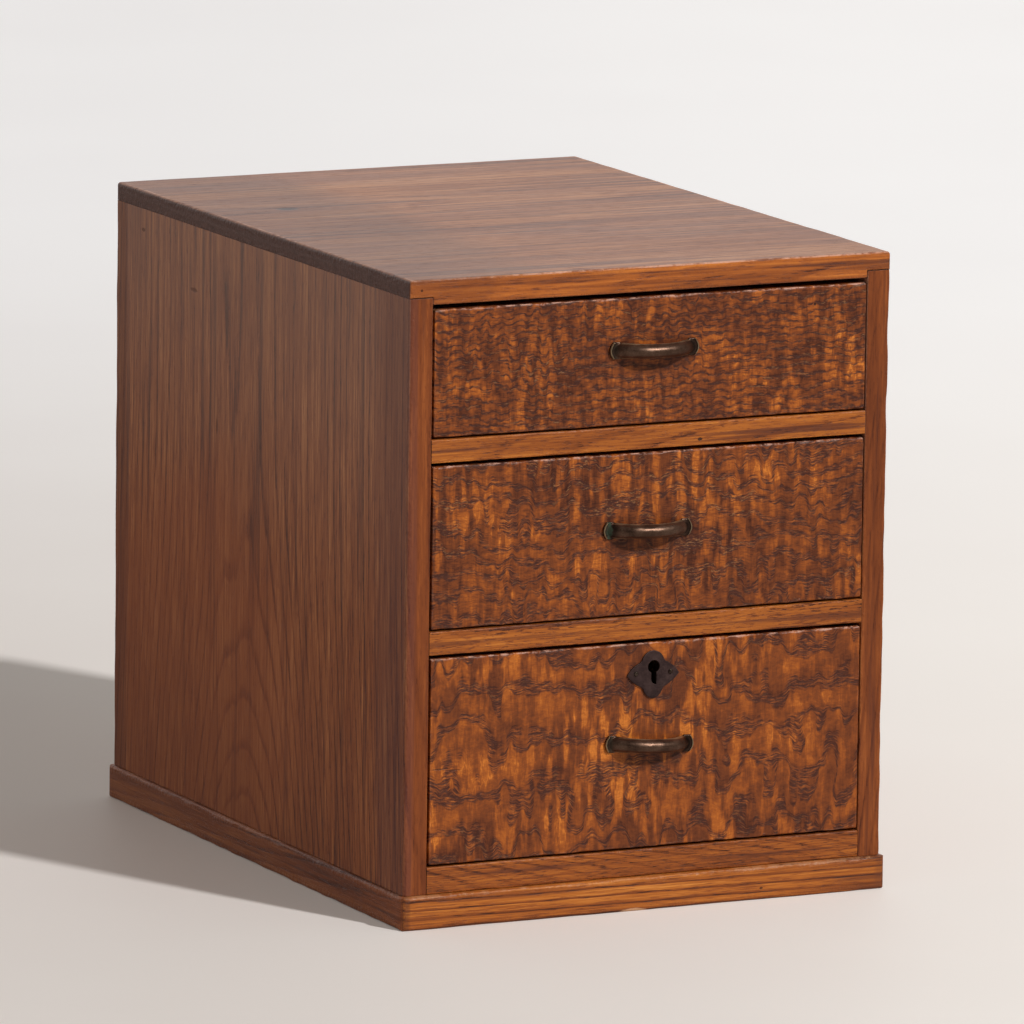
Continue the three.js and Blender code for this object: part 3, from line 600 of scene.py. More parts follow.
darkColours = [(78, 40, 26), (108, 56, 33), (138, 75, 42), (163, 97, 55), (192, 127, 78)]
orangeColours = [(74, 38, 22), (108, 56, 27), (146, 78, 33), (182, 105, 40), (214, 139, 64)]
stileColours = [(86, 40, 21), (104, 51, 24), (121, 61, 28), (135, 70, 31), (160, 88, 40)]
edgeColours = [(68, 33, 20), (104, 52, 25), (144, 76, 32), (176, 97, 38), (206, 122, 50)]
paleColours = [(104, 78, 54), (148, 114, 80), (182, 146, 104), (204, 170, 126), (222, 192, 150)]
woodBase = {
    "along": "x",
    "drift": 26.0,
    "lean": (0.0, 0.05),
    "leanReach": 900.0,
    "ringWidth": 5.5,
    "earlyShare": 0.45,
    "poreLength": 10.0,
    "poreWidth": 0.55,
    "tone": 0.6,
    "fibre": 0.6,
    "fibreSize": (60.0, 1.0),
    "hair": 0.5,
    "hairSize": (18.0, 0.55),
    "streak": 0.6,
    "streakSize": (260.0, 9.0),
    "veins": 0.7,
    "veinLength": 180.0,
    "ringDark": 0.2,
    "poreDark": 0.3,
    "paintedSheen": 0.0,
    "paleEdge": 0.3,
    "paleEdgeFrom": (0.95, 1.25),
    "paleEdgeColour": (198, 140, 108),
    "endColours": ((62, 40, 35), (116, 82, 72)),
    "polish": 0.25,
    "gloss": 0.4,
    "relief": 0.12,
    "colours": orangeColours,
    "edgeColours": orangeColours,
    "marksAndPaintedShade": [],
}
sideWood = {
    "along": "z", "colours": darkColours, "edgeColours": stileColours, "paintedSheen": 0.3, "ringWidth": 6.5,
    "ringDark": 0.5, "earlyShare": 0.34, "tone": 0.685, "drift": 16.0, "fibre": 0.8, "hair": 0.8,
    "fibreSize": (90.0, 2.6), "hairSize": (26.0, 1.5), "poreLength": 8.0, "poreWidth": 1.2, "poreDark": 0.4,
}
woods = {  # each board's seed is its place in this list
    "left_side": {
        **sideWood, "heart": (-206, 24), "lean": (0.26, 0.0), "leanReach": 160.0,
        "marksAndPaintedShade": [((-151.5, 168.3, 347.9), (2, 2.5, 1.2), (70, 36, 30), 0.6),
                  ((-151.5, 95.4, 322.7), (2, 5, 1.4), (78, 40, 32), 0.5),
                  ((-151.5, 61.4, 247.7), (2, 1.2, 5), (78, 40, 32), 0.6),
                  ((-151.5, -200, 190), (6, 44, 420), (100, 60, 56), 0.4),
                  ((-151.5, 90, 90), (6, 150, 140), (153, 81, 45), 0.4),
                  ((-151.5, 205, 150), (6, 16, 420), (92, 46, 34), 0.45)]},
    "right_side": {**sideWood, "heart": (70, -170), "lean": (-0.1, 0.02)},
    "top_board": {
        "heart": (60, 310), "colours": darkColours, "lean": (0.1, 0.05), "polish": 0.3, "paleEdge": 0.8,
        "paleEdgeColour": (222, 168, 140), "tone": 0.74, "veins": 1.1, "edgeColours": edgeColours, "paintedSheen": 0.1,
        "veinLength": 240.0, "fibre": 0.85, "hair": 0.9, "fibreSize": (200.0, 4.2), "hairSize": (60.0, 2.0),
        "poreLength": 14.0, "poreWidth": 1.1, "poreDark": 0.5, "streak": 0.95, "streakSize": (320.0, 22.0),
        "paleEdgeFrom": (0.85, 1.15),
        "marksAndPaintedShade": [((-140, 40, 371), (90, 290, 6), (92, 62, 54), 0.4),
                  ((-125, -199, 364), (30, 4, 12), (110, 56, 30), 0.4),
                  ((-102.8, 72.6, 371.0), (7, 5, 2), (70, 66, 72), 0.8),
                  ((-144.2, -198.6, 364.9), (0.8, 2, 0.8), (62, 32, 22), 0.8)]},
    "upper_rail": {
        "heart": (-120, 250), "lean": (0.12, 0.08), "veins": 1.0, "tone": 0.67, "poreLength": 7.0,
        "poreWidth": 0.8, "poreDark": 0.45,
        "marksAndPaintedShade": [((31.4, -198.6, 269.9), (1.6, 2, 1.0), (48, 26, 20), 0.9)]},
    "lower_rail": {
        "heart": (-260, 190), "tone": 0.67, "streak": 0.5, "poreLength": 7.0, "poreWidth": 0.8,
        "poreDark": 0.7},
    "bottom_rail": {
        "heart": (-150, 60), "lean": (0.14, 0.1), "tone": 0.52, "ringWidth": 4.0, "ringDark": 0.28,
        "poreLength": 8.0, "poreWidth": 0.7, "poreDark": 0.75, "veins": 0.8},
    "front_plinth_rail": {
        "heart": (-170, -40), "lean": (0.02, 0.02), "tone": 0.68, "paleEdge": 0.45,
        "paleEdgeColour": (196, 144, 104), "ringWidth": 4.2, "ringDark": 0.45, "poreDark": 0.5,
        "poreLength": 16.0, "poreWidth": 0.8, "fibre": 0.7,
        "marksAndPaintedShade": [((-153.7, -201.6, 10), (5, 5, 40), (92, 52, 34), 0.5),
                  ((153.7, -201.6, 10), (7, 5, 40), (110, 62, 40), 0.4),
                  ((73.7, -201.7, 6.8), (1.2, 2, 0.7), (62, 34, 24), 0.8),
                  ((-8.0, -201.6, 0.4), (8.5, 2, 1.5), (206, 158, 120), 0.9)]},
    "rear_plinth_rail": {"heart": (260, -40)},
    "left_plinth_rail": {"along": "y", "heart": (-190, -30), "colours": darkColours},
    "right_plinth_rail": {"along": "y", "heart": (190, -30), "colours": darkColours},
}

figureBase = {
    "columnWidth": 13.0,
    "columnLength": 45.0,
    "lean": 0.02,
    "broad": 60.0,
    "ripple": 20.0,
    "lobes": 20.0,
    "jitter": 3.0,
    "ringWidth": 26.0,
    "earlyShare": 0.3,
    "tone": 0.61,
    "stripesAndSheen": 1.0,
    "stripeLength": 24.0,
    "tan": 0.3,
    "patches": 0.6,
    "lumps": 0.3,
    "earlyDark": 0.17,
    "haloDark": 0.14,
    "wallDark": 0.0,
    "poreDark": 0.42,
    "poreReach": 0.15,
    "paleEdge": 0.8,
    "paleEdgeColour": (226, 176, 152),
    "gloss": 0.34,
    "relief": 0.05,
    "colours": [(66, 33, 22), (90, 46, 27), (113, 59, 31), (140, 73, 32), (172, 93, 35), (212, 125, 48)],
}
figures = {
    "top_drawer_front": {
        "seed": 21.0, "ringWidth": 5.0, "columnWidth": 8.0, "columnLength": 30.0, "ripple": 3.5, "lobes": 4.0,
        "broad": 30.0, "jitter": 1.5, "tone": 0.585, "earlyShare": 0.35, "earlyDark": 0.24, "haloDark": 0.1,
        "lumps": 0.8, "wallDark": 0.16, "poreReach": 0.45, "patches": 0.45, "tan": 0.5,
        "marksAndPaintedShade": [((103.6, -198.1, 343.2), (0.9, 2, 0.9), (46, 26, 20), 0.9),
                  # A painted shadow below the pull.
                  ((1, -198.1, 315.5), (26, 3, 6.5), (58, 32, 22), 0.4)]},
    "middle_drawer_front": {
        "seed": 33.0, "ringWidth": 13.0, "columnWidth": 11.0, "ripple": 12.0, "lobes": 11.0, "tone": 0.59,
        "stripesAndSheen": 1.2, "stripeLength": 36.0, "tan": 0.6, "earlyShare": 0.4, "earlyDark": 0.15,
        "haloDark": 0.1, "lumps": 0.5, "wallDark": 0.14, "poreReach": 0.35,
        # Its one mark is a painted shadow below the pull.
        "marksAndPaintedShade": [((-2, -198.1, 212), (26, 3, 6.5), (58, 32, 22), 0.45)]},
    "bottom_drawer_front": {
        "seed": 47.0, "stripesAndSheen": 1.2,
        # The first mark is a painted shadow below the pull.
        "marksAndPaintedShade": [((0, -198.1, 87.5), (26, 3, 7), (58, 32, 22), 0.4),
                  # Painted shade on the wood inside the keyhole.
                  ((3.7, -188, 136), (11, 26, 11), (30, 18, 14), 1.0),
                  ((-129.5, -198, 91.1), (5.5, 3, 0.4), (58, 30, 20), 0.7),
                  ((-121.5, -198, 90.0), (5.5, 3, 0.4), (58, 30, 20), 0.6)]},
}

# Boards of the carcase and the drawer fronts
joints = {
    "glueLine": 0.15 * mm,
    "tenonSetback": 8 * mm,
    "tenonWidth": 14 * mm,
    "tenonHeight": 7 * mm,
    "pocketWidth": 14 * mm,
    "pocketDepth": 6.2 * mm,
    "pocketHeight": 7 * mm,
    "frontLip": 6 * mm,
    "drawerSide": 8.15 * mm,
    "selvedge": 1.35 * mm,  # how deep the lock plate and its edge are let in
    "bottomLap": 6.15 * mm,
    "studHole": 1.8 * mm,
    "overrun": 1 * mm,
}
dressed = {
    "step": 4 * mm,
    "endRadius": 0.15 * mm,
    "wobble": 0.3,
    "wobbleLength": 26 * mm,
    "uneven": 0.05 * mm,
    "unevenLength": 60 * mm,
    "fade": 1.2 * mm,
}


def grow(corners, margin):
    low, high = (np.array(corner) for corner in corners)
    return low - margin, high + margin


def rectangle(low, high, radii):
    # The four corners of a rectangle, anticlockwise from the lowest, each with its radius.
    places = [(low[0], low[1]), (high[0], low[1]), (high[0], high[1]), (low[0], high[1])]
    return [(*place, radius * mm) for place, radius in zip(places, radii)]


def woodOf(node):
    seed = 1.0 + list(woods).index(node)
    return straightWood(node + "_wood", {**woodBase, "seed": seed, **woods[node]})


def tenonBox(rail):
    low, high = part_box(rail)
    middle = (low.z - joints["glueLine"] + high.z) / 2
    front, half = low.y + joints["tenonSetback"], joints["tenonHeight"] / 2
    return (low.x, front, middle - half), (high.x, front + joints["tenonWidth"], middle + half)


rails = "upper_rail", "lower_rail", "bottom_rail"


def buildSides():
    glue, over = joints["glueLine"], joints["overrun"]
    backLow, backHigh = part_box("lower_back_board")[0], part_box("upper_back_board")[1]
    rebate = boxCutter((backLow.x - glue, backLow.y - glue, -over),
                       (backHigh.x + glue, backHigh.y + over, backHigh.z + glue))
    housed = [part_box(board) for board in ("upper_shelf", "lower_shelf", "bottom_board")]
    cutters = [boxCutter(*grow(corners, glue)) for corners in housed + [tenonBox(rail) for rail in rails]]
    for node, radii, seed in (("left_side", (2.0, 0.7, 0.8, 1.6), 11),
                              ("right_side", (0.7, 2.4, 1.6, 0.8), 12)):
        low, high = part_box(node)
        look = {**dressed, "seed": seed}
        side = carriedBoard(node, rectangle(low, high, radii), (low.z, high.z), "z", look)
        reshape(side, cutters)
        reshape(side, [rebate])
        standFor(side, node, woodOf(node))


def buildTop():
    low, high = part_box("top_board")
    sideLow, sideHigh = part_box("right_side")
    drop, lap = sideLow.x - joints["glueLine"], sideHigh.z + joints["glueLine"]
    corners = [(-drop, low.z, 1.0 * mm), (drop, low.z, 1.0 * mm), (drop, lap, 0.1 * mm)]
    corners += [(high.x, lap, 0.15 * mm), (high.x, high.z, 2.6 * mm), (low.x, high.z, 2.0 * mm)]
    corners += [(low.x, lap, 0.15 * mm), (-drop, lap, 0.1 * mm)]
    look = {**dressed, "endRadius": 1.2 * mm, "wobble": 0.12, "wobbleLength": 24 * mm, "uneven": 0.03 * mm,
            "fade": 1.6 * mm, "seed": 13}
    top = carriedBoard("top_board", corners, (low.y, high.y), "y", look)
    standFor(settle(top), "top_board", woodOf("top_board"))


def buildRails():
    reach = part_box("right_side")[0].x - joints["glueLine"]
    over, glue = joints["overrun"], joints["glueLine"]
    for seed, node in enumerate(rails, 14):
        low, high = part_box(node)
        corners = rectangle(low.yz, high.yz, (0.9, 0.6, 0.6, 0.9))
        rail = carriedBoard(node, corners, (-reach, reach), "x", {**dressed, "seed": seed})
        reshape(rail, [boxCutter(*tenonBox(node))], "UNION")
        if node == "lower_rail":
            plateLow, plateHigh = grow(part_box("strike_plate"), glue)
            middle = (plateLow + plateHigh) / 2
            half = np.array([joints["pocketWidth"], joints["pocketDepth"], 0]) / 2
            plate = boxCutter((*plateLow[:2], low.z - over), plateHigh)
            pocket = boxCutter((*(middle - half)[:2], low.z - over),
                               (*(middle + half)[:2], low.z + joints["pocketHeight"]))
            for cutter in (plate, pocket):
                reshape(rail, [cutter])
        standFor(rail, node, woodOf(node))


def buildPlinth():
    outline = [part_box(f"{side}_plinth_rail")[end] for side, end in (("left", 0), ("right", 1))]
    front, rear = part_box("front_plinth_rail")[0].y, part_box("rear_plinth_rail")[1].y
    reach = [(outline[0].x, front), (outline[1].x, rear)]
    look = {**dressed, "fade": 1.6 * mm, "cornerReach": reach, "cornerRadius": 3.4 * mm}
    for seed, side in enumerate(("front", "rear", "left", "right"), 17):
        node = side + "_plinth_rail"
        low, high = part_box(node)
        along, across = ("x", 1) if side in ("front", "rear") else ("y", 0)
        outer, radii = low[across], (2.0, 0.8, 0.8, 2.2)
        if side in ("rear", "right"):
            outer, radii = high[across], (0.8, 2.0, 2.2, 0.8)
        corners = rectangle((low[across], low.z), (high[across], high.z), radii)
        ends = low[1 - across], high[1 - across]
        look.update({"seed": seed, "mitreFrom": outer})
        rail = carriedBoard(node, corners, ends, along, look)
        standFor(settle(rail), node, woodOf(node))


def buildFronts():
    over, glue = joints["overrun"], joints["glueLine"]
    for seed, drawer in enumerate(("top", "middle", "bottom"), 21):
        node = drawer + "_drawer_front"
        low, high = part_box(node)
        look = {**dressed, "step": 3 * mm, "endRadius": 1.1 * mm, "wobble": 0.45, "wobbleLength": 12 * mm,
                "fade": 0.7 * mm, "seed": seed}
        corners = rectangle(low, high, (0.6, 0.6, 0.5, 0.5))
        front = carriedBoard(node, corners, (low.z, high.z), "z", look)
        behind, bottom, top = high.y + over, low.z - over, high.z + over
        lip, side = low.y + joints["frontLip"], joints["drawerSide"]
        cutters = [boxCutter((low.x - over, lip, bottom), (low.x + side, behind, top)),
                   boxCutter((high.x - side, lip, bottom), (high.x + over, behind, top)),
                   boxCutter((low.x - over, high.y - joints["bottomLap"], bottom),
                             (high.x + over, behind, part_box(drawer + "_drawer_bottom")[1].z + glue))]
        for side in ("left", "right"):
            washerLow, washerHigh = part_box(f"{drawer}_pull_{side}_washer")
            middle = (washerLow + washerHigh) / 2
            outline = np.c_[middle.x + joints["studHole"] * np.cos(allRound(24)),
                            middle.z + joints["studHole"] * np.sin(allRound(24))]
            cutters.append(barCutter(outline, low.y - over, behind))
        if drawer == "bottom":
            for fitting in ("lock_plate", "lock_case"):
                fitLow, fitHigh = grow(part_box(fitting), glue)
                if fitting == "lock_plate":
                    selvedge = (fitLow[0], fitLow[1], high.z - joints["selvedge"])
                    cutters.append(boxCutter(selvedge, (fitHigh[0], behind, top)))
                    fitLow[1] = high.y - joints["selvedge"]
                cutters.append(boxCutter(fitLow, (fitHigh[0], behind, top)))
            outline = keyholeOutline(plate["woodClearance"]) + keyholeMiddle()
            cutters.append(barCutter(outline, low.y - over, behind))
        for cutter in cutters:
            reshape(front, [cutter])
        figure = rippledWood(node + "_wood", {**figureBase, **figures[node]})
        standFor(front, node, figure)


# Cast and forged metal under old dirt. Metal shows pale where it is rubbed; on the pulls' rims and bar edges
# that pale colour is partly a painted highlight of the lit edges. A pull's feet are darker beside the bar's
# ends, and a dull crust lies in the hollows.
def agedMetal(name, metal):
    material, place, wear = newMaterial(name)
    seed = metal["seed"]
    cloud = place.speckle(9, seed, 4, 0.6)
    fine = place.speckle(0.9, seed + 2.1, 4, 0.65)
    scratch = place.speckle((6, 0.5, 0.5), seed + 4.7, 3)
    tone = 0.5 + cloud * 1.1 + fine * 0.5 + scratch * 0.3
    colour = tone.ramp((0.2, 0.5, 0.8), metal["colours"])
    # Pale where the wear is: rubbed metal, and on the pulls' rims and bar edges partly a painted highlight.
    bright = (wear + cloud * 0.9).between(0.55, 0.95)
    colour = (bright * metal["paleEdge"]).mix(colour, metal["paleEdgeColour"])
    crust = 0.0
    if "crust" in metal:
        x, y, z = place.axes()
        # Darker on the feet beside the bar's ends, away from the worn rims.
        footDarkening = abs(x).between(20.5, 24) * (1 - wear.between(0.2, 0.7)) * 0.7
        colour = footDarkening.mix(colour, (46, 36, 32))
        near = 1 - abs(x - metal["crust"][0]).between(0.5, 3.0)
        crust = (near * 0.55 + place.speckle(2.2, seed + 8, 4, 0.6) * 1.2).between(0.3, 0.6)
        crust = crust * metal["crust"][1] * (1 - bright)
        colour = crust.mix(colour, (46, 58, 42))
    finish = {"Base Color": colour, "Metallic": metal["metallic"] - crust * 0.85,
              "Roughness": metal["gloss"] + fine * 0.25 + cloud * 0.2 + crust * 0.3}
    finishMaterial(place, finish, fine * 0.6 + cloud + scratch * 0.3, metal["relief"])
    return material


metalBase = {"metallic": 0.9, "paleEdge": 0.5, "relief": 0.05, "gloss": 0.34, "seed": 61.0}
bronze = {"colours": [(68, 51, 42), (108, 82, 67), (138, 110, 92)], "paleEdgeColour": (186, 166, 132),
          "paleEdge": 0.85, "gloss": 0.4}
metals = {
    "top_pull": {**bronze, "crust": (-24, 0.15)},
    "middle_pull": {**bronze, "crust": (-26, 1.0), "seed": 65.0},
    "bottom_pull": {**bronze, "crust": (-23, 0.25), "seed": 69.0},
    "iron": {"colours": [(38, 27, 27), (64, 46, 44), (84, 64, 60)], "paleEdgeColour": (116, 98, 90),
             "paleEdge": 0.25, "metallic": 0.5, "gloss": 0.5, "relief": 0.12, "seed": 73.0},
    "dark_brass": {"colours": [(52, 40, 34), (86, 70, 60), (124, 108, 96)],
                   "paleEdgeColour": (206, 190, 168), "gloss": 0.14, "seed": 77.0},
    "brass": {"colours": [(98, 78, 46), (146, 118, 70), (182, 154, 100)], "paleEdgeColour": (214, 194, 148),
              "gloss": 0.4, "seed": 79.0},
    "steel": {"colours": [(70, 62, 56), (122, 118, 114), (158, 156, 152)], "paleEdgeColour": (196, 194, 190),
              "seed": 81.0},
}


def metalOf(name):
    return agedMetal(name + "_metal", {**metalBase, **metals[name]})


# A pull is cast in one with its feet and studs: bar, feet, rims and studs are fused and smoothed a little.
pull = {
    "length": 56 * mm,
    "barHeight": 7.4 * mm,
    "rootHeight": 8.8 * mm,
    "barDepth": 3.9 * mm,
    "clearance": 8.6 * mm,
    "archPower": 2.4,
    "legWidth": 5.2 * mm,
    "ledge": 1.1 * mm,
    "lip": 0.35 * mm,  # how proud the back edges of the bar stand
    "footHeight": 10 * mm,
    "footThickness": 1.4 * mm,
    "footBulge": 2.1 * mm,
    "rimRadius": 0.5 * mm,
    "rimRise": 0.15 * mm,  # how far before the foot the rim's middle lies
    "rimWearAndHighlight": (26.6 * mm, 0.8 * mm, 1.8 * mm, 0.6 * mm),  # where it starts, over what, how deep, each way
    "edgeWearAndHighlight": (0.25 * mm, 0.4 * mm, 1.6 * mm),  # where it starts inside the edge, over what, how deep
    "footReach": 3.2 * mm,  # how far in from its end a foot has wear of its own
    "roundness": 0.5 * mm,  # of the feet's edges and the studs' ends
    "unevenLength": 7 * mm,
    "uneven": 0.05 * mm,
    "studInset": 4.4 * mm,
    "studRadius": 1.5 * mm,
    "grain": 0.24 * mm,  # how fine the fused mesh is
    "tilts": {"top": 0.4, "middle": 1.1, "bottom": 3.4},  # degrees, right end down
}


def barOfPull():
    # The back edge follows reach * along and -clearance * arch, with arch = 1 - |along| ^ power. The front
    # does the same further out, with half an ellipse between them whose ends stand a little proud.
    along = np.linspace(-1, 1, 97)[:, None]
    angle = np.linspace(0, math.pi, 33)
    arch = 1 - abs(along) ** pull["archPower"]
    outer = pull["length"] / 2 - pull["ledge"]
    inner = outer - pull["legWidth"]
    height = pull["barHeight"] + (pull["rootHeight"] - pull["barHeight"]) * (1 - arch)
    proud = pull["lip"] * np.exp(-(((1 - abs(np.cos(angle))) / 0.02) ** 2))
    forward = np.sin(angle)
    x = along * (inner + (outer - inner) * forward)
    y = -arch * (pull["clearance"] + pull["barDepth"] * forward)
    z = (height / 2 + proud) * np.cos(angle)
    return tube(x, y, z)


def footOfPull(side):
    # A foot is straight inside and bowed outside. Its outline is drawn in round its front edge.
    corner, half = pull["length"] / 2 - pull["footBulge"], pull["footHeight"] / 2
    inner = pull["length"] / 2 - pull["ledge"] - pull["legWidth"]
    turn = np.linspace(-1, 1, 25)
    bow = np.c_[corner + pull["footBulge"] * (1 - turn**2), half * turn]
    outline = np.vstack([[(inner, -half)], bow, [(inner, half)]])
    middle = outline.mean(0)
    angle = np.linspace(0, math.pi / 2, 5)
    forward = np.r_[0, pull["footThickness"] - pull["roundness"] * (1 - np.sin(angle))]
    drawn = np.r_[0, pull["roundness"] * (1 - np.cos(angle))]
    inset = drawn[:, None, None] / abs(outline - middle).max(0)
    rings = middle + (outline - middle) * (1 - inset)
    return tube(side * rings[..., 0], -forward[:, None], rings[..., 1])


def rimOfPull(side):
    # A thin round bead along the bowed edge of a foot.
    radius = pull["rimRadius"]
    corner, half = pull["length"] / 2 - pull["footBulge"] - radius, pull["footHeight"] / 2 - radius
    turn = np.linspace(-1, 1, 33)[:, None]
    angle = allRound(12)
    x = side * (corner + pull["footBulge"] * (1 - turn**2) + radius * np.cos(angle))
    y = -pull["footThickness"] - pull["rimRise"] + radius * np.sin(angle)
    return tube(x, y, half * turn)


def turned(profile, middle, count=32):
    # Rings of one radius each along Y, with a closed point at a radius of nothing.
    radius, along = np.asarray(profile).T[..., None]
    angle = allRound(count)
    x, y, z = middle
    return tube(x + radius * np.cos(angle), y + along, z + radius * np.sin(angle))


def fuse(name, parts, grain, smooth):
    # Several closed solids made one skin of small even faces.
    piece = newPiece(name, *joined(parts))
    remesh = piece.modifiers.new("fuse", "REMESH")
    remesh.mode, remesh.voxel_size, remesh.adaptivity = "VOXEL", grain, 0
    soften = piece.modifiers.new("soften", "SMOOTH")
    soften.factor, soften.iterations = 0.5, smooth
    return settle(piece, 180)


def buildPulls():
    for seed, drawer in enumerate(("top", "middle", "bottom"), 31):
        node = drawer + "_pull"
        low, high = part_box(node)
        back = low.y + pull["clearance"] + pull["barDepth"]
        radius, reach = pull["studRadius"], pull["length"] / 2 - pull["studInset"]
        end, bevel = high.y - back, pull["roundness"]
        stud = [(0, -bevel), (radius, -bevel), (radius, end - bevel), (radius - bevel, end), (0, end)]
        parts = [barOfPull()]
        for side in (-1, 1):
            parts += [footOfPull(side), rimOfPull(side), turned(stud, (side * reach, 0, 0))]
        piece = fuse("cast_" + node, parts, pull["grain"], 3)
        x, y, z = coordinates(piece).T
        foot = abs(x) > pull["length"] / 2 - pull["footReach"]
        bow = pull["footBulge"] * (2 * z / pull["footHeight"]) ** 2
        # The wear on the rims and the bar's edges turns them pale: partly rubbed metal, partly a painted
        # highlight of those lit edges.
        first, over, depth, margin = pull["rimWearAndHighlight"]
        rim = np.clip((abs(x) + bow - first) / over, 0, 1) * (abs(y + depth) < margin) * foot
        first, over, depth = pull["edgeWearAndHighlight"]
        edge = np.clip((abs(z) - pull["barHeight"] / 2 + first) / over, 0, 1)
        writeWear(piece.data, np.maximum(rim, edge * (y < -depth) * ~foot * 0.8))
        lift = pull["uneven"] * waver(np.c_[x, y, z], pull["unevenLength"], seed)
        tilt = math.radians(pull["tilts"][drawer])
        middle = (low + high) / 2
        placed = np.c_[middle.x + x * math.cos(tilt) + z * math.sin(tilt), back + y + lift * (y < -2 * mm),
                       middle.z - x * math.sin(tilt) + z * math.cos(tilt)]
        piece.data.vertices.foreach_set("co", placed.ravel())
        standFor(piece, node, metalOf(node))


# The keyhole plate, forged thin, and its two nails
plate = {
    "reach": 16.5 * mm,
    "halfHeight": 13.8 * mm,
    "lobeRadius": 7.2 * mm,
    "lobeStart": 14.0,  # degrees above the middle of the lobe
    "notch": 1.1 * mm,
    "bulge": 1.3 * mm,
    "slimmer": 0.2,  # how much narrower the plate gets towards its foot
    "arris": 0.3 * mm,
    "holeShift": 0.4 * mm,  # right of the middle of the plate, and above it
    "holeRise": 4.5 * mm,
    "holeRadius": 3.7 * mm,
    "slotWidth": 3.3 * mm,
    "slotLength": 10.4 * mm,
    "woodClearance": 0.5 * mm,
    "nailRadius": 1.4 * mm,
    "nailHeight": 0.8 * mm,
    "nailShank": 0.6 * mm,
    "nailPoint": 1.5 * mm,
    "beaten": 0.06 * mm,  # how far the face waves
    "beatenLength": 6 * mm,
    "fade": 0.5 * mm,
}


def bezier(first, control, last, count):
    first, control, last = (np.array(point) for point in (first, control, last))
    turn = np.linspace(0, 1, count)[:, None]
    return (1 - turn) ** 2 * first + 2 * turn * (1 - turn) * control + turn**2 * last


def keyholeOutline(grown=0.0):
    # A round hole over a slot whose lower left corner is rounded, from the middle of the round hole.
    radius, half = plate["holeRadius"] + grown, plate["slotWidth"] / 2 + grown
    opening = math.asin(half / radius)
    angle = np.linspace(opening - math.pi / 2, 1.5 * math.pi - opening, 48)
    foot = -plate["slotLength"] - grown
    hole = np.c_[radius * np.cos(angle), radius * np.sin(angle)]
    return np.vstack([hole, bezier((-half, foot + 2 * half), (-half, foot + half / 2), (half, foot), 14)])


def keyholeMiddle():
    low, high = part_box("keyhole_plate")
    return (low.x + high.x) / 2 + plate["holeShift"], (low.z + high.z) / 2 + plate["holeRise"]


def plateOutline():
    # Two points left and right and a lobe above and below, from the middle of the plate.
    start, rise = math.radians(plate["lobeStart"]), plate["halfHeight"] - plate["lobeRadius"]
    angle = np.linspace(start, math.pi / 2, 20)
    lobe = np.c_[plate["lobeRadius"] * np.cos(angle), rise + plate["lobeRadius"] * np.sin(angle)]
    shoulder = lobe[0] + (plate["notch"], -plate["notch"])
    control = (plate["reach"] + shoulder[0]) / 2 + plate["bulge"], shoulder[1] / 2 + plate["bulge"]
    quarter = np.vstack([bezier((plate["reach"], 0), control, shoulder, 16), lobe])
    half = np.vstack([quarter, (quarter * (-1, 1))[::-1][1:]])
    lower = -half[1:-1]
    slim = 1 + plate["slimmer"] * lower[:, 1] / plate["halfHeight"]
    return np.vstack([half, np.c_[lower[:, 0] * slim, lower[:, 1]]])


def reachAt(angle, outline):
    # How far a closed outline round the origin lies in each direction.
    around = np.arctan2(outline[:, 1], outline[:, 0])
    order = np.argsort(around)
    around, outline = around[order], outline[order]
    index = np.searchsorted(around, angle, side="right") % len(around)
    last, step = outline[index - 1], outline[index] - outline[index - 1]
    side = np.c_[np.sin(angle), -np.cos(angle)]
    share = -(last * side).sum(1) / (step * side).sum(1)
    return np.linalg.norm(last + share[:, None] * step, axis=1)


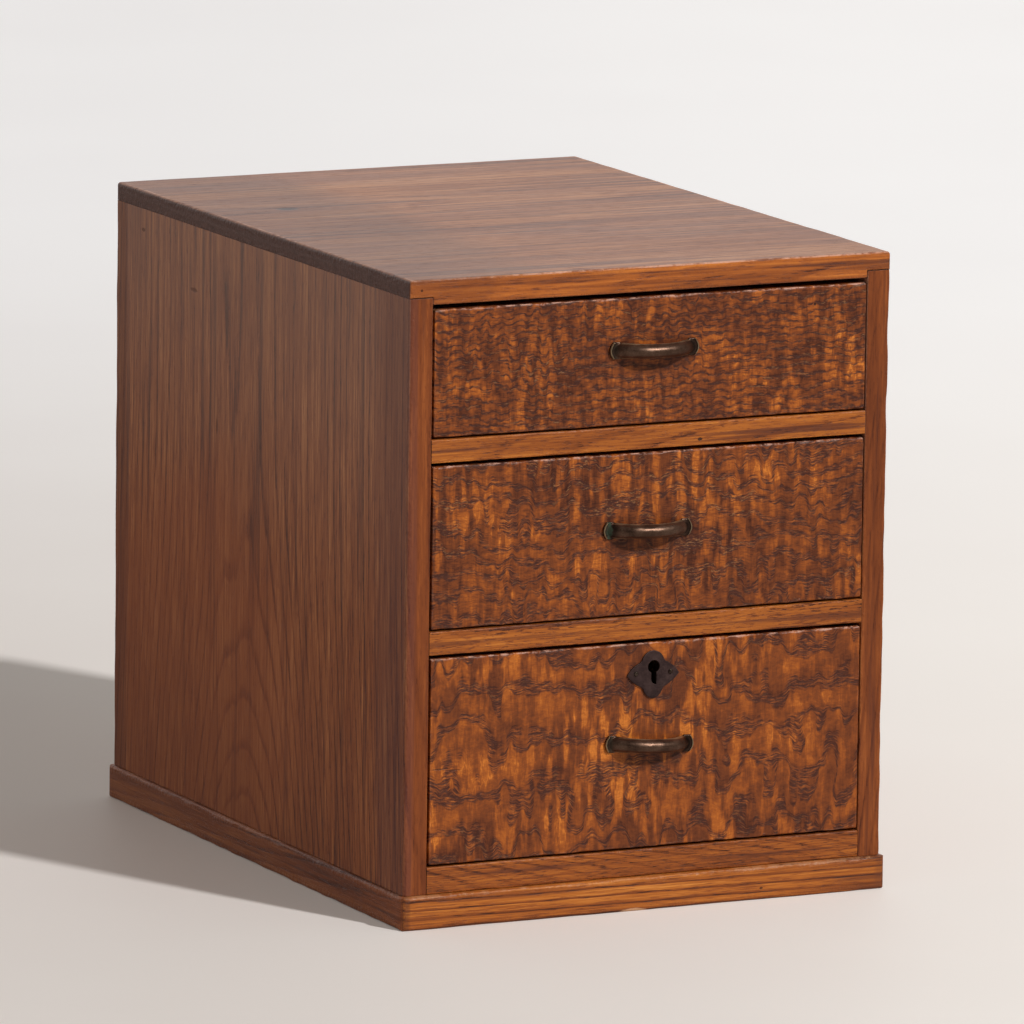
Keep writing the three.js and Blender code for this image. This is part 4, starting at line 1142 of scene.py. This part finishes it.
def buildKeyholePlate():
    # A ring of points in every direction from the keyhole, carried from the hole's edge over the face to the
    # outer edge and back behind. Each edge is rounded by a quarter circle.
    low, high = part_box("keyhole_plate")
    x, z = keyholeMiddle()
    hole = keyholeOutline()
    outer = plateOutline() - (plate["holeShift"], plate["holeRise"])
    angle = np.arctan2(*np.vstack([hole, outer]).T[::-1])
    angle = np.unique(np.round(np.r_[angle, np.linspace(-math.pi, math.pi, 240)[1:]], 5))[:-1]
    near, far = reachAt(angle, hole)[:, None], reachAt(angle, outer)[:, None]
    arris, quarter = plate["arris"], np.linspace(0, math.pi / 2, 4)
    fill, rounding = np.linspace(0, 1, 12)[1:-1], arris * (1 - np.cos(quarter))
    fromHole = np.r_[0, rounding, arris * (1 - fill), 0 * quarter, 0]
    fromEdge = np.r_[0, 0 * quarter, arris * fill, rounding[::-1], 0]
    share = np.r_[0, 0 * quarter, fill, 0 * quarter + 1, 1]
    bevel = low.y + arris * (1 - np.sin(quarter))
    depth = np.r_[high.y, bevel, 0 * fill + low.y, bevel[::-1], high.y]
    radius = near * (1 - share) + far * share + fromHole - fromEdge
    px, pz = x + radius * np.cos(angle)[:, None], z + radius * np.sin(angle)[:, None]
    beaten = waver(stacked(px, 0, pz), plate["beatenLength"], 41).reshape(px.shape)
    py = depth + plate["beaten"] * (1 + beaten) * (share > 0) * (share < 1)
    wear = np.exp(-np.minimum(radius - near, far - radius) / plate["fade"]) * (depth < high.y)
    faces = ringFaces(*px.shape, closed=True)
    piece = newPiece("forged_keyhole_plate", stacked(px, py, pz), faces, wear)
    standFor(settle(piece), "keyhole_plate", metalOf("iron"))
    brass = metalOf("dark_brass")
    for side in ("left", "right"):
        node = f"keyhole_plate_{side}_nail"
        headLow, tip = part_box(node)
        middle = ((headLow.x + tip.x) / 2, headLow.y + plate["nailHeight"], (headLow.z + tip.z) / 2)
        around = np.linspace(0, math.pi / 2, 8)
        profile = [*zip(plate["nailRadius"] * np.sin(around), -plate["nailHeight"] * np.cos(around))]
        shank, end = plate["nailShank"], tip.y - middle[1]
        profile += [(shank, 0), (shank, end - plate["nailPoint"]), (0, end)]
        nail = newPiece("domed_" + node, *turned(profile, middle, 24))
        standFor(settle(nail, 50), node, brass)


# The other CAD pieces keep their shape and get a finish
def dressNodes():
    plain = {**woodBase, "paleEdge": 0.2, "gloss": 0.6, "poreDark": 0.2, "ringDark": 0.15}
    brass, steel = metalOf("brass"), metalOf("steel")
    for seed, (node, shown) in enumerate(sorted(frame["nodes"].items())):
        if shown.hide_render:
            continue
        if node.endswith(("board", "shelf", "back", "bottom", "side")):
            colours = darkColours if "back_board" in node else paleColours
            look = {**plain, "along": "y" if node.endswith("side") else "x", "seed": 100.0 + seed,
                    "colours": colours, "edgeColours": colours, "heart": (30.0 * (seed % 5) - 60, -140.0),
                    "tone": 0.66 if node.startswith("upper") else 0.54}
            material = straightWood(node + "_wood", look)
        else:
            ofBrass = any(word in node for word in ("nut", "strike", "lock_plate", "lock_case", "lock_bolt"))
            material = brass if ofBrass else steel
        for place in shown.material_slots:
            place.material = material


buildSides()
buildTop()
buildRails()
buildPlinth()
print("carcase ready")
buildFronts()
print("drawer fronts ready")
buildPulls()
buildKeyholePlate()
print("fittings ready")
dressNodes()
print("finishes ready")
